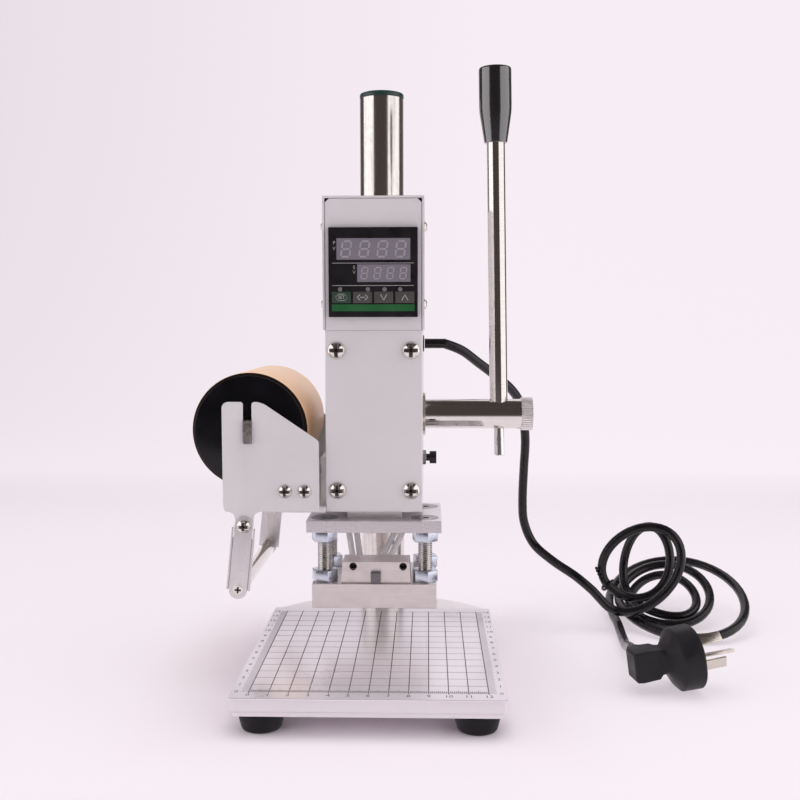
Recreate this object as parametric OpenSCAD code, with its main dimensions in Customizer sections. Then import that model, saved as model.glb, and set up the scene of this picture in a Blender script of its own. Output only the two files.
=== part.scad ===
// Lever-operated hot foil stamping machine on a bench base.
// Millimetres, +Z up, floor at Z = 0, operator in front at -Y.
// Everything is laid out from the pillar axis; machine() then centres the box on the origin.

/* [Base] */
// Width of the base slab
slab_w = 136; // [110:1:180]
// Thickness of the base slab
slab_t = 9; // [8:0.5:16]
// Pillar axis to the front edge of the slab
slab_front = 173; // [150:1:220]
// Pillar axis to the rear end of the slab
slab_tail = 19; // [17:0.5:40]
// Radius of the rounded rear end
slab_arc_r = 84; // [80:1:120]
// Height of the set-back band along the slab's lower edge
slab_foot_band = 2.5; // [1:0.5:4]
// Set-back of that band
slab_band_inset = 0.6; // [0.2:0.1:2]
// Overhang of the scale plate past the slab's sides
scale_side = 1; // [0:0.5:3]
// Thickness of the scale plate
scale_t = 1; // [0.5:0.1:2]
// Overhang of the scale plate past the slab's front edge
scale_lip = 1; // [0:0.5:3]
// Gap between the scale plate and the pillar
scale_pillar_gap = 2; // [1:0.5:10]

/* [Feet] */
// Height of a rubber foot
foot_h = 10; // [6:0.5:15]
// Diameter of a foot at the slab
foot_top_d = 25; // [16:0.5:26]
// Diameter of a foot at the floor
foot_low_d = 21; // [12:0.5:24]
// Foot centre in from the slab's side
foot_inset = 13.5; // [13:0.5:25]
// Front foot centre behind the slab's front edge
foot_setback = 13; // [12:0.5:30]
// Rear foot centre in front of the pillar axis
foot_rear = 25; // [20:1:60]
// Shank diameter of a foot screw
foot_screw_d = 4; // [3:0.5:5]

/* [Pillar] */
// Outside diameter of the pillar
pillar_d = 28; // [22:0.5:32]
// Wall of the pillar tube
pillar_wall = 3; // [1.5:0.25:4]
// Length of the pillar
pillar_h = 326.5; // [300:0.5:400]
// Length of the pillar's solid, tapped lower end
pillar_root = 30; // [24:1:50]
// Thickness of the cap's rim
cap_rim = 3; // [2:0.5:6]
// Length of the cap's stem in the tube
cap_stem = 12; // [6:1:25]
// Shank diameter of the countersunk pillar bolt
pillar_bolt_d = 10; // [8:1:12]

/* [Head] */
// Width of the slide housing
housing_w = 53; // [48:0.5:70]
// Height of the slide housing
housing_h = 100; // [90:1:130]
// Pillar axis to the face of the front cover
head_reach = 107; // [104:0.5:125]
// Thickness of the front cover
cover_t = 3; // [2:0.5:5]
// Cover screw centre in from the cover's side
cover_screw_in = 6.2; // [5.5:0.1:7]
// Upper cover screws below the cover's top
cover_screw_down = 11; // [7:0.5:16]
// Lower cover screws above the cover's bottom
cover_screw_up = 12; // [7:0.5:16]
// Shank diameter of a cover screw
cover_screw_d = 5; // [4:0.5:6]
// Pillar axis to the rear face of the clamp cap
clamp_d = 24; // [22:0.5:34]
// Gap between the clamp cap and the housing
clamp_gap = 1; // [0.6:0.1:2]
// Shank diameter of a clamp bolt
clamp_bolt_d = 6; // [4:0.5:6]
// Clamp bolts in from the top and bottom of the housing
clamp_bolt_in = 18; // [12:1:30]

/* [Ram and gearing] */
// Width of the ram
ram_w = 30; // [24:0.5:32]
// Depth of the ram
ram_d = 31.9; // [26:0.1:34]
// Gap between the ram and its guide faces
slide_gap = 0.1; // [0.05:0.01:0.15]
// Module of the rack and pinion
gear_module = 1.5; // [1.5:0.05:1.6]
// Teeth on the pinion
gear_teeth = 20; // [19:1:21]
// Face width of the pinion
gear_w = 16; // [12:0.5:18]
// Extra centre distance between pinion and rack
mesh_gap = 0.05; // [0.05:0.05:0.2]
// Pinion axis above the underside of the head
axis_up = 50; // [46:0.5:56]

/* [Lever] */
// Diameter of the pinion shaft
shaft_d = 17.5; // [14:0.5:18]
// Mid-plane to the shaft's outer end
shaft_reach = 84.5; // [80:0.5:110]
// Diameter of a bush's flange on the head's side
flange_d = 25; // [23:0.5:27]
// Thickness of a bush's flange
flange_t = 1.5; // [1:0.1:3]
// Diameter of the knurled clamp knob
knob_d = 19.5; // [17:0.5:26]
// Width of the clamp knob
knob_w = 6.5; // [4:0.5:12]
// Diameter of the lever rod
rod_d = 10.6; // [8:0.2:11]
// Diameter of the rod's lower pin
pin_d = 6; // [5:0.2:7]
// Mid-plane to the lever rod at the shaft
rod_x = 71.5; // [60:0.5:74]
// Lean of the lever rod towards the head
lever_lean = 1; // [0:0.25:3]
// Shaft axis to the top of the grip, along the rod
lever_len = 201.8; // [170:0.2:260]
// Length of the pin below the shaft axis
pin_tail = 24.6; // [12:0.2:40]
// Length of the grip
grip_len = 44.3; // [30:0.1:70]
// Diameter of the grip's straight upper part
grip_top_d = 19; // [15:0.2:28]
// Length of that part
grip_straight = 25.5; // [15:0.5:28]
// Diameter of the grip at its lower end
grip_low_d = 13.4; // [13:0.2:18]

/* [Press plate and heater] */
// Clear height between the table and the die plate
work_gap = 27; // [25:0.5:60]
// Width of the die plate
die_w = 68.6; // [66:0.2:72]
// Depth of the die plate
die_d = 52; // [48:0.5:56]
// Thickness of the die plate
die_t = 13.5; // [11:0.5:20]
// Height between the die plate and the press plate
stud_free = 29; // [25:0.5:45]
// Width of the press plate
press_w = 74; // [73:0.5:90]
// Depth of the press plate
press_d = 56; // [54:0.5:60]
// Thickness of the press plate
press_t = 6.5; // [6:0.1:12]
// Pillar axis to the front edge of the press plate
press_reach = 112; // [110:0.5:115]
// Gap between the press plate and the head
ram_gap = 4; // [2:0.5:10]
// Spacing of the levelling studs across the machine
stud_span_x = 56; // [54:0.5:57]
// Spacing of the levelling studs front to back
stud_span_y = 34; // [30:0.5:36]
// Diameter of a levelling stud
stud_d = 8; // [6:0.5:8]
// Height of a stud nut
nut_h = 6.5; // [4:0.5:7]
// Width of the heater block at its foot
heater_w = 38.6; // [37:0.2:39]
// Width of the heater block at its top
heater_top_w = 37; // [35:0.2:38]
// Depth of the heater block
heater_d = 17; // [16:0.5:30]
// Height of the heater block
heater_h = 12; // [11:0.5:14]
// Diameter of a cartridge heater
cartridge_d = 4.2; // [3:0.1:6]
// Diameter of a heater lead
lead_d = 3.6; // [2:0.2:3.8]

/* [Control box] */
// Outside width of the box sleeve
box_w = 55; // [54:0.5:64]
// Height of the box
box_h = 72; // [66:0.5:90]
// Depth of the box
box_d = 85.6; // [84:0.2:88]
// Sheet thickness of the box
box_sheet = 1.2; // [0.8:0.1:1.4]
// Side of the controller's square bezel
bezel_w = 48; // [46:0.5:49]
// Thickness of the bezel in front of the panel
bezel_t = 3; // [2.8:0.1:6]
// Side of the controller's case behind the panel
case_w = 44.8; // [40:0.2:45]
// Depth of the controller's case behind the panel
case_d = 77; // [50:1:80]
// Bezel centre above the bottom of the box
bezel_up = 31; // [28:0.5:34]
// Width of one key
key_w = 10.3; // [8:0.1:10.8]
// Height of one key
key_h = 6.3; // [4:0.1:7]
// Travel of a key
key_travel = 0.5; // [0.3:0.1:0.8]

/* [Foil bracket] */
// Thickness of the two cheeks
sheet_t = 1.5; // [1:0.1:2]
// Thickness of the tray
tray_t = 3; // [2:0.5:3]
// Gap between the housing and the cheeks
cheek_gap = 3.5; // [3.2:0.1:6]
// Inside distance between the two cheeks
cheek_span = 104.5; // [104:0.5:106]
// Height of the cheeks' top above the underside of the head
cheek_top = 61; // [58:0.5:66]
// Height of the cheeks' straight side towards the head
cheek_side = 39.6; // [30:0.2:45]
// Width of the spindle slot
slot_w = 4.8; // [4:0.1:8]
// Slot centre to the cheeks' outer edge
cheek_outer = 14; // [11:0.5:20]
// Height of the tray's flanges
flange_h = 17; // [16:0.5:22]

/* [Foil roll] */
// Outside radius of the wound foil
foil_r = 32; // [24:0.5:34]
// Length of the wound foil
foil_len = 88; // [60:1:90]
// Thickness of a roll disc
disc_t = 2.5; // [2:0.25:4]
// Radius of a roll disc
disc_r = 30.5; // [22:0.5:32]
// Inside radius of the roll's core
core_r = 12.7; // [10:0.1:14]
// Wall of the roll's core
core_wall = 1.8; // [1:0.1:4]
// Diameter of the spindle
spindle_d = 13; // [10:0.2:16]
// Gap between the roll and the housing
roll_gap = 10.5; // [9:0.5:16]
// Spindle axis above the underside of the head
spindle_up = 44.6; // [42:0.2:48]

/* [Foil guide] */
// Guide pivot below the underside of the head
pivot_drop = 7.3; // [7:0.1:9]
// Guide pivot outward of the slot
pivot_out = 2.4; // [0:0.2:4]
// Pivot to the guide rod
arm_len = 35.7; // [25:0.1:40]
// Width of an arm's strip
arm_w = 10; // [9:0.2:11]
// Rest angle of the arms, outward from plumb
arm_angle = 6; // [0:0.5:10]
// Diameter of the guide rod
guide_rod_d = 8.5; // [7:0.1:9]

/* [Mains cord] */
// Diameter of the mains cord
cord_d = 6; // [4:0.1:6.5]

/* [Hidden] */
$fn = 64;

// Clearances shared by everything that fits together
seat = 0.01;
run = 0.05;
loose = 0.2;

// Heights
slab_z = foot_h;
slab_top = slab_z + slab_t;
table_z = slab_top + scale_t;
die_z = table_z + work_gap;
die_top = die_z + die_t;
press_z = die_top + stud_free;
press_top = press_z + press_t;
head_z = press_top + ram_gap;
head_top = head_z + housing_h;
axis_z = head_z + axis_up;
box_top = head_top + box_h;
pillar_top = slab_top + pillar_h;

// Depths, measured from the pillar axis
pillar_r = pillar_d / 2;
front_y = -head_reach;
housing_y = front_y + cover_t;
channel_y = housing_y + ram_d + 2 * slide_gap;
rack_y = housing_y + slide_gap + ram_d;
scale_front = -slab_front - scale_lip;
scale_rear = -pillar_r - scale_pillar_gap;
scale_w = slab_w + 2 * scale_side;

// Gearing: the rack's tips face the pinion behind it
pitch_r = gear_module * gear_teeth / 2;
gear_tip_r = pitch_r + gear_module - 0.2;
gear_root_r = pitch_r - 1.25 * gear_module;
pressure_angle = 20;
gear_base_r = pitch_r * cos(pressure_angle);
backlash = 0.15;
tooth_pitch = PI * gear_module;
axis_y = rack_y - gear_module + pitch_r + mesh_gap;
gear_pocket = gear_tip_r + 0.9;
gear_side = 1;
ram_top_gap = 5;
ram_top = head_top - ram_top_gap;

// Box that the origin is centred under
half_w = housing_w / 2;
roll_x = -(half_w + roll_gap + foil_r);
roll_reach = -roll_x + foil_r;
knob_reach = shaft_reach + knob_w;
pillar_x = (roll_reach - knob_reach) / 2;
front_reach = max(slab_front + scale_lip, press_reach);
rear_reach = max(clamp_d, slab_tail);
pillar_y = (front_reach - rear_reach) / 2;

// Screw head proportions, as multiples of the shank
pan_head_d = 2;
pan_head_h = 0.62;
cap_head_d = 1.75;
cap_head_h = 0.95;
sink_head_d = 1.94;
recess_w = 0.42;
recess_l = 1.5;

// Depth of a screw hole past the screw's tip
tip_gap = 1;

// Cover screws
cover_screw_x = half_w - cover_screw_in;
cover_screw_z = [head_z + cover_screw_up, head_top - cover_screw_down];
cover_screw_len = cover_t + 14;

// Clamp bolts
clamp_bolt_x = (pillar_r + half_w) / 2;
clamp_bolt_z = [head_z + clamp_bolt_in, head_top - clamp_bolt_in];
clamp_bolt_grip = clamp_d - cap_head_h * clamp_bolt_d - 0.5;
clamp_bolt_len = clamp_bolt_grip + 13;

// Friction screw on the right-hand side, ending just short of the ram
friction_d = 4;
friction_z = axis_z - 22;
friction_y = housing_y + ram_d / 2;
friction_nut_t = 2;
friction_neck = 2;
friction_nut_w = 7;
ram_half = ram_w / 2 + slide_gap;

// Shaft bushes
bush_wall = 2;
bush_x = gear_w / 2 + gear_side;
bush_r = shaft_d / 2 + bush_wall;
shaft_left = half_w + flange_t;

// Lever seat in the shaft, and the knob's screw
seat_z = 0.72 * shaft_d / 2;
knob_screw_d = 6;
knob_screw_len = shaft_reach - rod_x - pin_d / 2 - 0.5;

// Press plate, studs and heater
press_front = -press_reach;
stud_y = press_front + press_d / 2;
die_front = stud_y - die_d / 2;
heater_set_back = 2;
heater_x = 0.9;
heater_front = die_front + heater_set_back;
heater_rear = heater_front + heater_d;
heater_top = die_top + heater_h;
stud_depth = 10.5;
nut_w = 1.625 * stud_d;
ram_mid_y = housing_y + slide_gap + ram_d / 2;
ram_screw_d = 5;
ram_screw_x = 8;
ram_screw_bite = 12;
cartridge_x = 13.8;
cartridge_mid = heater_x + 1.2;
cartridge_z = heater_top - cartridge_d / 2 - 0.5;
cartridge_set_in = 5;
lock_head_w = 5.4;
lock_head_t = 3;
lock_shank_d = 3;
lock_shank_len = 12;
lock_rise = 1;

// Heater leads: where they leave the block and where they enter the housing
lead_y = axis_y + 13.5;
lead_bore_d = lead_d + 1;
lead_bore_h = 33;
lead_reach = 29;
lead_root_z = heater_top - 2.6;
lead_root_x = [-13.4, -9.2, 3.2, 7.8];
lead_x = [-21, -16, 16, 21];

// Control box
box_half = box_w / 2;
box_front = front_y - 0.3;
box_rear = box_front + box_d;
panel_half = box_half - box_sheet - loose;
panel_top = box_top - box_sheet - loose;
panel_corner = 2.2;
panel_rear = box_rear - 0.3;
bezel_z = head_top + bezel_up;
bezel_y = front_y - bezel_t;
case_hole = case_w + 0.4;
tab_depth = 14;
box_screw_d = 3;
box_screw_y = front_y + 8;
box_screw_z = [head_top + 14, head_top + 56];
box_screw_len = 2 * box_sheet + loose + tip_gap;
floor_screw_d = 4;
floor_screw_len = 10;
floor_screw_x = 18;
floor_screw_y = front_y + 46;

// Controller face: keys in a row and two display windows above them
key_t = 2;
key_proud = 0.3;
key_gap = 0.15;
key_pitch = 11.4;
key_drop = 13.4;
window_t = 1;
upper_window = [39.6, 11.4];
upper_window_at = [0.2, 12.4];
lower_window = [28.6, 9.4];
lower_window_at = [5.8, -0.5];

// Cable way from the cord's grommet up into the box
grommet_y = housing_y + 71;
grommet_z = head_top - 9;
grommet_r = 5;
grommet_depth = 12;
grommet_proud = 0.7;
cable_x = 18;
cable_r = 4;

// Foil bracket
cheek_right = -(half_w + cheek_gap);
cheek_left = roll_x - cheek_outer;
cheek_y = front_y - 3;
cheek_inner_y = cheek_y + sheet_t;
rear_cheek_y = cheek_inner_y + cheek_span;
post_w = 5.1;
slot_low = spindle_d / 2 + 0.1;
pivot_x = roll_x - pivot_out;
pivot_z = head_z - pivot_drop;
tab_r = 5;
tab_fillet = 4.5;
cheek_low = head_z + 0.5;
spindle_z = head_z + spindle_up;
bracket_screw_d = 4;
bracket_screw_len = sheet_t + tray_t + 2;
bracket_screw_up = 11.8;
bracket_screw_x = [cheek_right - 8.1, cheek_right - 18.8];
tray_left = cheek_right - 28;
tray_wall_x = -half_w - tray_t;
tray_wall_h = 30;
tray_wall_front = housing_y + 1;
tray_wall_rear = rear_cheek_y - 6;
tray_screw_bite = 8;
tray_screw_y = [housing_y + 37, housing_y + 79];
tray_screw_up = 18;

// Foil roll
hub_len = 10;
hub_run = 0.1;
roll_y = cheek_inner_y + (cheek_span - foil_len - 2 * disc_t) / 2;

// Foil guide: arms hang outside the cheeks
arm_gap = 0.2;
arm_t = 1.5;
arm_web = 1.2;
arm_rail = 0.9;
arm_slit = 0.5;
web_top = tab_r + 2;
rail_top = 1;
rail_end = 5;
pivot_d = bracket_screw_d;
guide_screw_d = 3;
guide_screw_bite = 7;
arm_y = cheek_y - arm_gap;
arm_rear_y = rear_cheek_y + sheet_t + arm_gap;

// Mains cord: facts of the cable and the way it lies, from the pillar axis and the floor
cord_r = cord_d / 2;
cord_sides = 10;
cord_steps = 2;
cord_exit = [half_w + grommet_proud + 0.3, grommet_y, grommet_z];
cord_drop = [
    [50.5, -28.5, 186.6], [61, -20.5, 178.8], [73, -10.5, 169.6], [84, 0, 160], [91, 9, 148], [94.5, 17, 127],
    [94.3, 23, 105], [94, 27, 83], [95.5, 29.5, 67], [102, 28, 52.5], [114, 19, 43], [128, 9.5, 35]
];

// Cord bundle: five loops that leave and come back to a tied waist.
// Each row: start of the loop, reach, direction of reach, half width, starting direction, rise at its back
loop_steps = 24;
loop_sides = 6;
way_over = [0.6, -0.1, -0.65];
way_in = [0.25, -0.92, -0.25];
way_out = [0, -0.99, -0.13];
bundle_loops = [
    [[147, 4.5, 17.5], 59, [0.73, -0.05, 0.64], 20.5, way_over, 0],
    [[151, 18.5, 27], 49, [0.43, 0.05, 0.6], 27.5, way_over, 0],
    [[169.5, 32.5, 14.5], 42.5, [1, 0, 0], 25, way_in, 34.5],
    [[169.5, 36, 7], 56.5, [1, 0, 0], 33, way_out, 49.5],
    [[162, 33, 10.5], 84.5, [1, 0, 0], 56.5, way_out, 42.5]
];
bundle_end = [154.9, 26.7, 7.7];
loop_turn_in = 0.2;

// Plug: where the back end of its axis lies, which way its pins point, and its sizes from that axis
plug_at = [142, -108, 13.9];
plug_turn = 10;
plug_tilt = 8;
plug_face_r = 17.4;
plug_face_t = 12;
plug_cone = 5;
plug_neck_r = 7;
plug_neck_l = 6;
plug_neck_h = 17;
plug_neck_z = -7.4;
plug_waist_r = 7;
plug_len = 36.5;
pin_w = 6.3;
pin_t = 1.6;
pin_l = 19.5;
pin_ring = 8;
plug_entry = [plug_neck_r + 1, plug_neck_r, 3];

// Shared shapes

// Moves a shape from the pillar-axis layout to the part's frame
module machine() {
    translate([pillar_x, pillar_y, 0]) children();
}

// Turns a shape built along +Z to point along -Y, +Y, +X or -X
module to_front() { rotate([90, 0, 0]) children(); }
module to_rear() { rotate([-90, 0, 0]) children(); }
module to_right() { rotate([0, 90, 0]) children(); }
module to_left() { rotate([0, -90, 0]) children(); }

// Box given by its two opposite corners
module span(low, high) {
    translate(low) cube(high - low);
}

// Same shape on both sides of the mid-plane
module both_sides() {
    children();
    mirror([1, 0, 0]) children();
}

// Points of an arc, for rounding the corner of an outline
function arc(centre, r, from, to, steps) = [
    for (i = [0:steps]) let (a = from + (to - from) * i / steps) centre + r * [cos(a), sin(a)]
];

// Cross recess cut into a screw head whose top is at z = 0
module cross_recess(d) {
    for (turn = [0, 90])
        rotate([0, 0, turn])
            translate([-recess_l * d / 2, -recess_w * d / 2, -0.4 * d])
                cube([recess_l * d, recess_w * d, d]);
}

// Pan-head screw: seat at z = 0, head above it, shank below
module pan_screw(d, length) {
    head_r = pan_head_d * d / 2;
    head_h = pan_head_h * d;
    ball_r = (head_r * head_r + head_h * head_h) / (2 * head_h);
    difference() {
        intersection() {
            translate([0, 0, head_h - ball_r]) sphere(r = ball_r);
            cylinder(r = head_r, h = head_h);
        }
        translate([0, 0, head_h]) cross_recess(d);
    }
    translate([0, 0, -length]) cylinder(d = d, h = length + 0.01 * d);
}

// Socket cap screw: seat at z = 0, head above it, shank below
module cap_screw(d, length) {
    difference() {
        cylinder(d = cap_head_d * d, h = cap_head_h * d);
        translate([0, 0, 0.45 * d]) cylinder(d = 0.95 * d, h = d, $fn = 6);
    }
    translate([0, 0, -length]) cylinder(d = d, h = length + 0.01 * d);
}

// Countersunk screw: flush face at z = 0, everything below it
module sunk_screw(d, length) {
    head_h = (sink_head_d - 1) * d / 2;
    difference() {
        union() {
            translate([0, 0, -head_h]) cylinder(d1 = d, d2 = sink_head_d * d, h = head_h);
            translate([0, 0, -length]) cylinder(d = d, h = length - head_h + 0.01 * d);
        }
        cross_recess(0.8 * d);
    }
}

// Hole that a countersunk screw drops into, flush face at z = 0
module sunk_hole(d, length) {
    head_h = (sink_head_d - 1) * d / 2;
    translate([0, 0, -head_h]) cylinder(d1 = d + 2 * seat, d2 = sink_head_d * d + 2 * seat, h = head_h);
    translate([0, 0, -length]) cylinder(d = d + 2 * seat, h = length);
    cylinder(d = sink_head_d * d + 2 * seat, h = d);
}

// Tapped or plain hole for a shank, opening at z = 0 and running down
module shank_hole(d, depth) {
    translate([0, 0, -depth]) cylinder(d = d + 2 * seat, h = depth + d);
}

// Hexagon nut standing on z = 0
module hex_nut(d, across, height) {
    difference() {
        cylinder(d = across / cos(30), h = height, $fn = 6);
        translate([0, 0, -1]) cylinder(d = d + 2 * seat, h = height + 2);
    }
}

// Base

// Plan outline of the slab: straight sides and an arc at the rear
module slab_outline(inset) {
    arc_y = slab_tail - slab_arc_r;
    intersection() {
        translate([-slab_w / 2 + inset, -slab_front + inset])
            square([slab_w - 2 * inset, slab_front + slab_tail]);
        union() {
            translate([-slab_w / 2, -slab_front]) square([slab_w, slab_front + arc_y]);
            translate([0, arc_y]) circle(r = slab_arc_r - inset, $fn = 128);
        }
    }
}

function foot_places() = [
    for (side = [-1, 1], y = [-slab_front + foot_setback, -foot_rear])
        [side * (slab_w / 2 - foot_inset), y]
];

module base_plate() color("gainsboro") machine() difference() {
    union() {
        translate([0, 0, slab_z]) linear_extrude(slab_foot_band) slab_outline(slab_band_inset);
        translate([0, 0, slab_z + slab_foot_band])
            linear_extrude(slab_t - slab_foot_band) slab_outline(0);
    }
    for (p = foot_places())
        translate([p[0], p[1], slab_z - 1]) cylinder(d = foot_screw_d + 2 * seat, h = 0.8 * slab_t + 1);
    translate([0, 0, slab_z]) rotate([180, 0, 0]) sunk_hole(pillar_bolt_d, slab_t + 1);
}

module scale_plate() color("white") machine()
    span([-scale_w / 2, scale_front, slab_top], [scale_w / 2, scale_rear, table_z]);

foot_seat = 0.5 * foot_h;

module rubber_foot() {
    low_r = foot_low_d / 2;
    edge = 1.5;
    difference() {
        rotate_extrude()
            polygon([
                [0, 0], [low_r - edge, 0], [low_r - 0.3 * edge, 0.3 * edge], [low_r, edge],
                [foot_top_d / 2, foot_h - edge], [foot_top_d / 2 - 0.3 * edge, foot_h], [0, foot_h]
            ]);
        translate([0, 0, -1]) cylinder(d = pan_head_d * foot_screw_d + 2 * loose, h = foot_seat + 1);
        cylinder(d = foot_screw_d + 2 * seat, h = foot_h + 1);
    }
}

module rubber_feet() color([0.1, 0.1, 0.11]) machine()
    for (p = foot_places()) translate([p[0], p[1], 0]) rubber_foot();

module foot_screws() color("silver") machine()
    for (p = foot_places())
        translate([p[0], p[1], foot_seat]) rotate([180, 0, 0])
            pan_screw(foot_screw_d, foot_h - foot_seat + 0.7 * slab_t);

module pillar() color([0.8, 0.8, 0.8]) machine() translate([0, 0, slab_top]) difference() {
    cylinder(r = pillar_r, h = pillar_h, $fn = 96);
    translate([0, 0, pillar_root]) cylinder(r = pillar_r - pillar_wall, h = pillar_h);
    translate([0, 0, -1]) cylinder(d = pillar_bolt_d + 2 * seat, h = 0.8 * pillar_root + 1);
}

module pillar_cap() color([0.05, 0.12, 0.1]) machine() translate([0, 0, pillar_top]) {
    cylinder(r = pillar_r, h = cap_rim);
    translate([0, 0, -cap_stem]) cylinder(r = pillar_r - pillar_wall - seat, h = cap_stem + 0.1);
}

module pillar_bolt() color("dimgray") machine() translate([0, 0, slab_z]) rotate([180, 0, 0])
    sunk_screw(pillar_bolt_d, slab_t + 0.7 * pillar_root);

// Head

module pillar_bore() {
    translate([0, 0, head_z - 1]) cylinder(r = pillar_r + run, h = housing_h + 2, $fn = 96);
}

module cover_screw_places() {
    for (x = [-cover_screw_x, cover_screw_x], z = cover_screw_z)
        translate([x, front_y, z]) to_front() children();
}

module clamp_bolt_places() {
    for (x = [-clamp_bolt_x, clamp_bolt_x], z = clamp_bolt_z)
        translate([x, clamp_bolt_grip, z]) to_rear() children();
}

module tray_screw_places() {
    for (y = tray_screw_y)
        translate([tray_wall_x, y, head_z + tray_screw_up]) to_left() children();
}

module floor_screw_places() {
    for (x = [-floor_screw_x, floor_screw_x])
        translate([x, floor_screw_y, head_top + box_sheet]) children();
}

// Ram channel, pinion pocket and bush bores of the slide housing
module drive_cavity() {
    span([-ram_half, housing_y - 1, head_z - 1], [ram_half, channel_y, head_top + 1]);
    translate([0, axis_y, axis_z]) {
        span([-bush_x, channel_y - axis_y - 1, -gear_pocket], [bush_x, 0, gear_pocket]);
        translate([-bush_x, 0, 0]) to_right() cylinder(r = gear_pocket, h = 2 * bush_x);
        translate([-half_w - 1, 0, 0]) to_right() cylinder(r = bush_r + seat, h = 2 * half_w + 2);
    }
}

// Way for the mains cable: in through the side, then up into the box
module cable_way() {
    translate([half_w - grommet_depth, grommet_y, grommet_z]) to_right()
        cylinder(r = grommet_r + seat, h = grommet_depth + 1);
    translate([cable_x, grommet_y, grommet_z])
        cylinder(r = cable_r, h = head_top - grommet_z + 2 * box_sheet);
}

module slide_housing() color("whitesmoke") machine() difference() {
    span([-half_w, housing_y, head_z], [half_w, -clamp_gap / 2, head_top]);
    drive_cavity();
    pillar_bore();
    cable_way();
    cover_screw_places() shank_hole(cover_screw_d, cover_screw_len + tip_gap);
    clamp_bolt_places() shank_hole(clamp_bolt_d, clamp_bolt_len + tip_gap);
    tray_screw_places() shank_hole(bracket_screw_d, tray_t + tray_screw_bite + tip_gap);
    floor_screw_places() shank_hole(floor_screw_d, floor_screw_len + tip_gap);
    translate([half_w, friction_y, friction_z]) to_right() shank_hole(friction_d, half_w - ram_half + 1);
    for (x = lead_x)
        translate([x, lead_y, head_z - 1]) cylinder(d = lead_bore_d, h = lead_bore_h + 1);
}

module front_cover() color("whitesmoke") machine() difference() {
    span([-half_w, front_y, head_z], [half_w, housing_y, head_top]);
    cover_screw_places() shank_hole(cover_screw_d, cover_t + 1);
}

module cover_screws() color("silver") machine() cover_screw_places()
    pan_screw(cover_screw_d, cover_screw_len);

module clamp_cap() color("whitesmoke") machine() difference() {
    span([-half_w, clamp_gap / 2, head_z], [half_w, clamp_d, head_top]);
    pillar_bore();
    clamp_bolt_places() {
        shank_hole(clamp_bolt_d, clamp_bolt_grip);
        cylinder(d = cap_head_d * clamp_bolt_d + 2 * loose, h = clamp_d);
    }
}

module clamp_bolts() color([0.15, 0.15, 0.16]) machine() clamp_bolt_places()
    cap_screw(clamp_bolt_d, clamp_bolt_len);

module shaft_bushes() color("peru") machine() translate([0, axis_y, axis_z]) both_sides() to_right()
    difference() {
        union() {
            translate([0, 0, bush_x]) cylinder(r = bush_r, h = half_w - bush_x);
            translate([0, 0, half_w]) cylinder(d = flange_d, h = flange_t);
        }
        cylinder(d = shaft_d + 2 * run, h = half_w + flange_t + 1);
    }

module at_friction() {
    translate([half_w, friction_y, friction_z]) to_right() children();
}

module friction_nut() color("silver") machine() at_friction()
    hex_nut(friction_d, friction_nut_w, friction_nut_t);

module friction_screw() color([0.12, 0.12, 0.13]) machine() at_friction()
    translate([0, 0, friction_nut_t + friction_neck])
        cap_screw(friction_d, friction_nut_t + friction_neck + half_w - ram_half - 0.1);

module cord_grommet() color([0.08, 0.08, 0.08]) machine()
    translate([half_w - 5, grommet_y, grommet_z]) to_right() cylinder(r = grommet_r, h = 5 + grommet_proud);

// Control box

// Front panel with its two upper corners cut off
module panel_outline() {
    cut_z = panel_top - panel_corner;
    cut_x = panel_half - panel_corner;
    polygon([
        [-panel_half, head_top], [panel_half, head_top], [panel_half, cut_z],
        [cut_x, panel_top], [-cut_x, panel_top], [-panel_half, cut_z]
    ]);
}

module box_screw_places(x) {
    for (side = [-1, 1], z = box_screw_z)
        translate([side * x, box_screw_y, z]) rotate([0, side * 90, 0]) children();
}

module control_chassis() color("whitesmoke") machine() difference() {
    union() {
        translate([0, front_y + box_sheet, 0]) to_front() linear_extrude(box_sheet) panel_outline();
        span([-panel_half, front_y, head_top], [panel_half, panel_rear, head_top + box_sheet]);
        span([-panel_half, panel_rear - box_sheet, head_top], [panel_half, panel_rear, panel_top]);
        both_sides()
            span([panel_half - box_sheet, front_y, head_top],
                 [panel_half, front_y + tab_depth, panel_top - panel_corner]);
    }
    translate([-case_hole / 2, front_y - 1, bezel_z - case_hole / 2])
        cube([case_hole, box_sheet + 2, case_hole]);
    box_screw_places(panel_half) shank_hole(box_screw_d, 4);
    floor_screw_places() shank_hole(floor_screw_d, 4);
    cable_way();
}

module control_cover() color("whitesmoke") machine() difference() {
    inner = box_half - box_sheet;
    span([-box_half, box_front, head_top], [box_half, box_rear, box_top]);
    span([-inner, box_front - 1, head_top - 1], [inner, box_rear + 1, box_top - box_sheet]);
    box_screw_places(box_half) shank_hole(box_screw_d, 4);
}

module box_screws() color("silver") machine() box_screw_places(box_half)
    pan_screw(box_screw_d, box_screw_len);

module floor_screws() color("silver") machine() floor_screw_places()
    pan_screw(floor_screw_d, floor_screw_len);

// Places one of the four keys, counted from the left, at the bezel's face
module key_block(index, grow, depth) {
    x = (index - 1.5) * key_pitch;
    translate([x - key_w / 2 - grow, bezel_y - key_proud, bezel_z - key_drop - key_h / 2 - grow])
        cube([key_w + 2 * grow, depth, key_h + 2 * grow]);
}

// Window sunk into the bezel's face
module window_block(size, at, grow, depth) {
    translate([at[0] - size[0] / 2 - grow, bezel_y - grow, bezel_z + at[1] - size[1] / 2 - grow])
        cube([size[0] + 2 * grow, depth + 2 * grow, size[1] + 2 * grow]);
}

module windows(grow) {
    window_block(upper_window, upper_window_at, grow, window_t);
    window_block(lower_window, lower_window_at, grow, window_t);
}

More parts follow.
